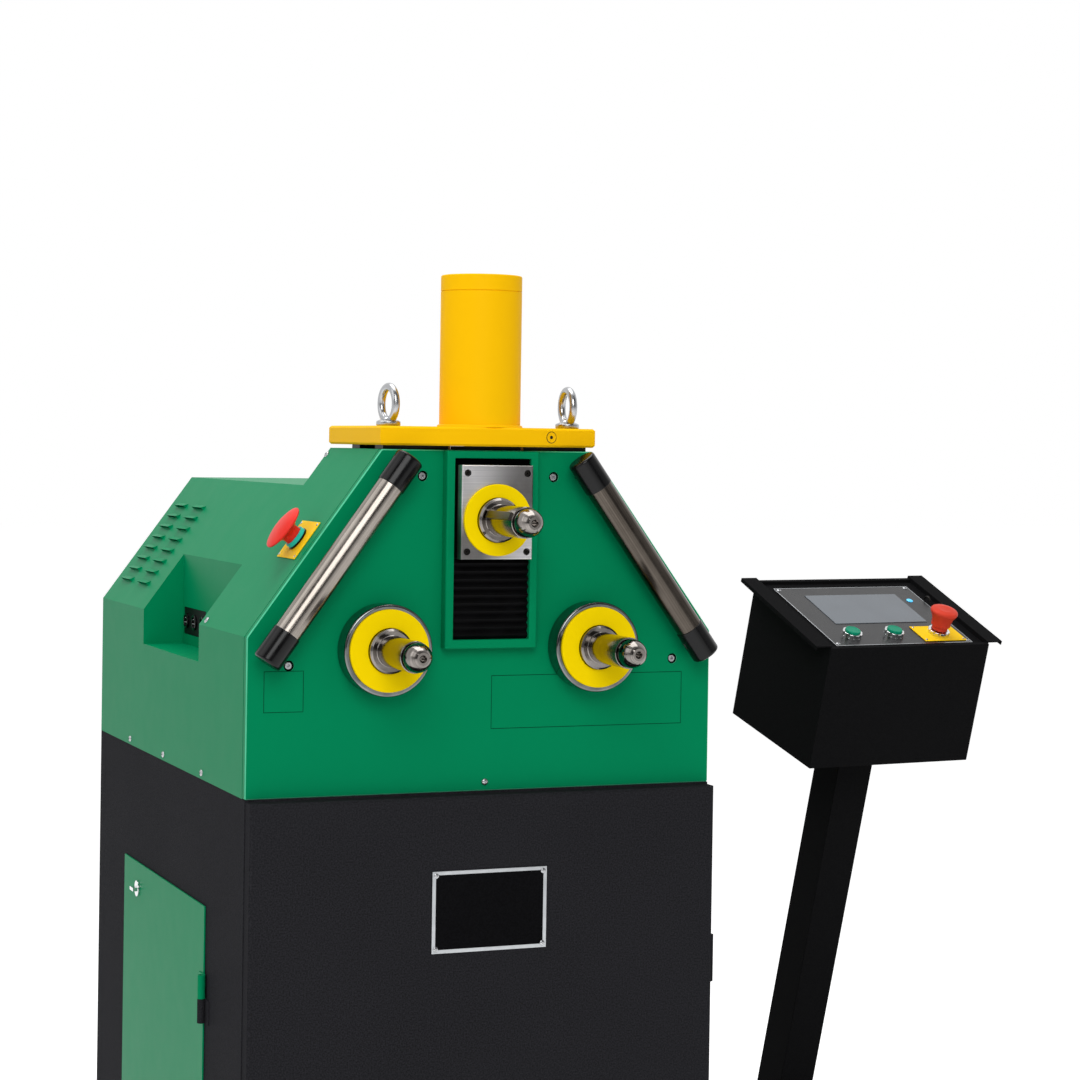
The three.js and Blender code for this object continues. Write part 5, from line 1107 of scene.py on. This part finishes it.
def console_panel():
    """The operating panel: its sheet, bright edge, display, corner screws, lens and loop."""
    through = (-OVERRUN, OVERRUN)
    spans = (inset(PANEL_X, SHEET_GAP), inset(PANEL_Y, SHEET_GAP))
    sheet = block("panel_sheet", *spans, (-SHEET_DEPTH, 0), PANEL_EDGE)
    carved(sheet, block("opening", SCREEN_X, SCREEN_Y, through))
    finished(moved(sheet, PANEL), PANEL_BLACK, "machine", ("control_panel",))
    border = block("panel_edge_bright", PANEL_X, PANEL_Y, (-SHEET_DEPTH, PANEL_BORDER_RISE), PANEL_EDGE)
    carved(border, block("opening", inset(PANEL_X, PANEL_BORDER), inset(PANEL_Y, PANEL_BORDER), through))
    finished(moved(border, PANEL), SILVER)
    across, up = (inset(span, PANEL_SCREW_INSET) for span in (PANEL_X, PANEL_Y))
    places = [PANEL @ shift(x, y, 0) for x in across for y in up]
    scattered(dome_screw(*PANEL_SCREW_SIZE), "panel_screw", places, ZINC)
    glass = block("display_face", SCREEN_X, SCREEN_Y, DISPLAY_REACH, DISPLAY_EDGE)
    finished(moved(glass, PANEL), DISPLAY, "machine", ("touch_screen",))
    lens = turned("panel_lamp", LAMP_OUTLINE, MEDIUM)
    finished(moved(lens, PANEL @ shift(*LAMP, 0)), LENS)
    bpy.ops.mesh.primitive_torus_add(major_segments=32, minor_segments=COARSE // 2,
                                     major_radius=LOOP_RADIUS * MM, minor_radius=LOOP_WIRE_RADIUS * MM)
    loop = started("panel_loop")
    opened()
    bpy.ops.mesh.bisect(plane_co=(0, 0, 0), plane_no=(0, 1, 0), clear_inner=True, use_fill=True)
    bpy.ops.object.mode_set(mode="OBJECT")
    moved(loop, PANEL @ shift(*LOOP, 0) @ turn("Z", math.pi / 2) @ turn("X", math.pi / 2))
    finished(loop, BLACKENED)


def nameplate():
    """A bare black plate in a silver border, held by four screws."""
    top = CABINET_TOP - NAMEPLATE_DROP
    place = shift(0, HOOD_FRONT_Y - DOOR_FRONT, top - NAMEPLATE_HEIGHT) @ turn("X", math.pi / 2)
    spans = ((-NAMEPLATE_WIDTH / 2, NAMEPLATE_WIDTH / 2), (0, NAMEPLATE_HEIGHT))
    plate = block("nameplate_bare", *spans, (0, NAMEPLATE_THICKNESS), FINE_EDGE)
    finished(moved(plate, place), NAMEPLATE, "front_door", ("nameplate",))
    border = block("nameplate_border", *spans, BORDER_REACH, BORDER_EDGE)
    inner = [inset(span, NAMEPLATE_BORDER) for span in spans]
    carved(border, block("field", *inner, (-OVERRUN, OVERRUN)))
    finished(moved(border, place), SILVER, "front_door")
    across, up = (inset(span, margin) for span, margin in zip(spans, NAMEPLATE_SCREW_INSET))
    places = [place @ shift(x, y, NAMEPLATE_THICKNESS) for y in up for x in across]
    scattered(dome_screw(*NAMEPLATE_SCREW_SIZE), "nameplate_screw", places, ZINC, "front_door")


def socket_block():
    """Connectors in the pocket's inner wall."""
    low, high = (Vector(corner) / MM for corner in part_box("socket_block"))
    softened("socket_block", SOCKET_PLASTIC, 0.8)
    middle = (low.z + high.z) / 2
    outward = turn("Y", -math.pi / 2)
    for i in range(CONNECTORS):
        y = low.y + (high.y - low.y) * (i + 0.5) / CONNECTORS
        rim = turned(f"socket_rim_{i}", CONNECTOR_RIM, MEDIUM)
        moved(rim, shift(low.x + CONNECTOR_SINK, y, middle) @ outward)
        finished(rim, SLEEVE)
        for j in range(PINS):
            angle = math.pi * (0.5 + 2 * j / PINS)
            pin = turned(f"socket_pin_{i}_{j}", CONNECTOR_PIN, COARSE // 2)
            centre = (y + PIN_CIRCLE * math.cos(angle), middle + PIN_CIRCLE * math.sin(angle))
            moved(pin, shift(low.x, *centre) @ outward)
            finished(pin, ZINC)


def shells():
    """Sheet metal and plate that keep the solids' shape, with rounded edges."""
    softened("base_cabinet", TEXTURED_BLACK, 1.2)
    softened("front_door", TEXTURED_BLACK, 1.5)
    softened("side_access_door", GREEN, 0.7)
    softened("left_hood_cover", GREEN, 0.7)
    softened("right_hood_cover", GREEN, 0.7)
    softened("slot_frame", GREEN, 1.2)
    softened("top_plate", YELLOW, 1.0)
    softened("ram_face_plate", FACE, 0.5)
    softened("pedestal_stand", SATIN_BLACK, 1.5)
    softened("console_box", SATIN_BLACK, 0.8)
    softened("front_door_lock", CHROME, 0.4)
    softened("side_door_lock", CHROME, 0.4)


def inner_pieces():
    """Pieces inside the machine keep their solids' shape."""
    for node in ("head_frame", "ram_block", "side_stop_stem", "console_stop_stem"):
        dress(node, DARK_STEEL)
    for node in ("lower_left_bearings", "lower_right_bearings", "upper_bearings"):
        dress(node, TURNED)
    for name in ("lower_left", "lower_right", "upper"):
        dress(f"{name}_roll_drive", CAST)
    dress("power_pack", CAST)
    dress("electrics_box", CAST)
    dress("ram_guide", BRONZE)
    dress("piston_rod", CHROME)


def studio():
    """A white room behind the machine, which metal and glass mirror, and a dimmer one before it."""
    world = bpy.data.worlds.new("white_room")
    bpy.context.scene.world = world
    world.use_nodes = True
    room = Tree(world.node_tree)
    room.tree.nodes.clear()
    seen, through, mirrored = (room.ray(kind) for kind in ("Camera", "Transmission", "Glossy"))
    towards = room.node("ShaderNodeTexCoord", output="Generated")
    back = room.axis(towards, "Y")
    mirror = room.node("ShaderNodeMapRange", {"clamp": True}, {
        "Value": back, "From Min": DIM_TO_WHITE[0], "From Max": DIM_TO_WHITE[1],
        "To Min": DIM_ROOM - AMBIENT, "To Max": 1 - AMBIENT})
    strength = AMBIENT + (seen + through) * (1 - AMBIENT) + mirrored * mirror
    light = room.node("ShaderNodeBackground", {}, {"Color": (1, 1, 1, 1), "Strength": strength})
    room.node("ShaderNodeOutputWorld", {}, {"Surface": light})


def floor():
    """The floor shows white to the camera and in metal, darkened where the shadow falls."""
    bpy.ops.mesh.primitive_plane_add(size=FLOOR_SIZE, location=(0, 0, FLOOR_LEVEL))
    ground = started("floor")
    paint = Finish("floor_paint", "floor", {"Roughness": 0.9, "Specular IOR Level": 0.0})
    cloud = paint.noise(paint.place(), 1.5, 2.0)
    paint.feed("Base Color", paint.mixed(cloud * 0.3, *FLOOR_TONES))
    shown = paint.ray("Camera") + paint.ray("Glossy")
    glow = paint.node("ShaderNodeEmission", {}, {"Strength": FLOOR_GLOW * shown})
    lit = paint.node("ShaderNodeAddShader", {}, {0: glow, 1: Value(paint, paint.shader.outputs[0])})
    paint.tree.links.new(lit.socket, paint.tree.nodes["Material Output"].inputs["Surface"])
    ground.data.materials.append(paint.material)


def lamp(name, place, target, size, power):
    """A soft square lamp that looks at a point."""
    light = bpy.data.lights.new(name, "AREA")
    light.shape = "SQUARE"
    light.size = size
    light.energy = power
    holder = bpy.data.objects.new(name, light)
    bpy.context.scene.collection.objects.link(holder)
    holder.location = place
    holder.rotation_euler = (Vector(target) - Vector(place)).to_track_quat("-Z", "Y").to_euler()


def camera():
    """The photograph's viewpoint, worked out from its straight edges."""
    yaw, pitch, roll_angle = (math.radians(a) for a in VIEW_TURNS)
    forward = Vector((math.sin(yaw) * math.cos(pitch), math.cos(yaw) * math.cos(pitch), math.sin(pitch)))
    level = Vector((math.cos(yaw), -math.sin(yaw), 0))
    above = level.cross(forward)
    right = math.cos(roll_angle) * level + math.sin(roll_angle) * above
    up = math.cos(roll_angle) * above - math.sin(roll_angle) * level
    lens = bpy.data.cameras.new("photograph")
    lens.sensor_width = SENSOR_WIDTH
    lens.lens = FOCAL_PIXELS / PICTURE_WIDTH * SENSOR_WIDTH
    lens.shift_x = (PICTURE_WIDTH / 2 - CENTRE_PIXELS[0]) / PICTURE_WIDTH
    lens.shift_y = (CENTRE_PIXELS[1] - PICTURE_WIDTH / 2) / PICTURE_WIDTH
    lens.clip_end = CLIP_END
    holder = bpy.data.objects.new("photograph", lens)
    bpy.context.scene.collection.objects.link(holder)
    turned_frame = Matrix((right, up, -forward)).transposed().to_4x4()
    holder.matrix_world = Matrix.Translation(VIEWPOINT) @ turned_frame
    bpy.context.scene.camera = holder
    bpy.context.scene.view_settings.view_transform = "Standard"


camera()
studio()
floor()
for values in LAMPS:
    lamp(*values)
inner_pieces()
shells()
hood_front_plate()
slot_seal()
hood_screws()
label_outlines()
ram_screws()
ram_bellows()
rolls()
face_bar(-1, "left", LIT_LEFT_BAR_TONES)
face_bar(1, "right", SHADED_RIGHT_BAR_TONES)
cylinder()
port_plug()
eye_bolts()
side_stop()
console_panel()
push_buttons()
panel_stop()
nameplate()
socket_block()
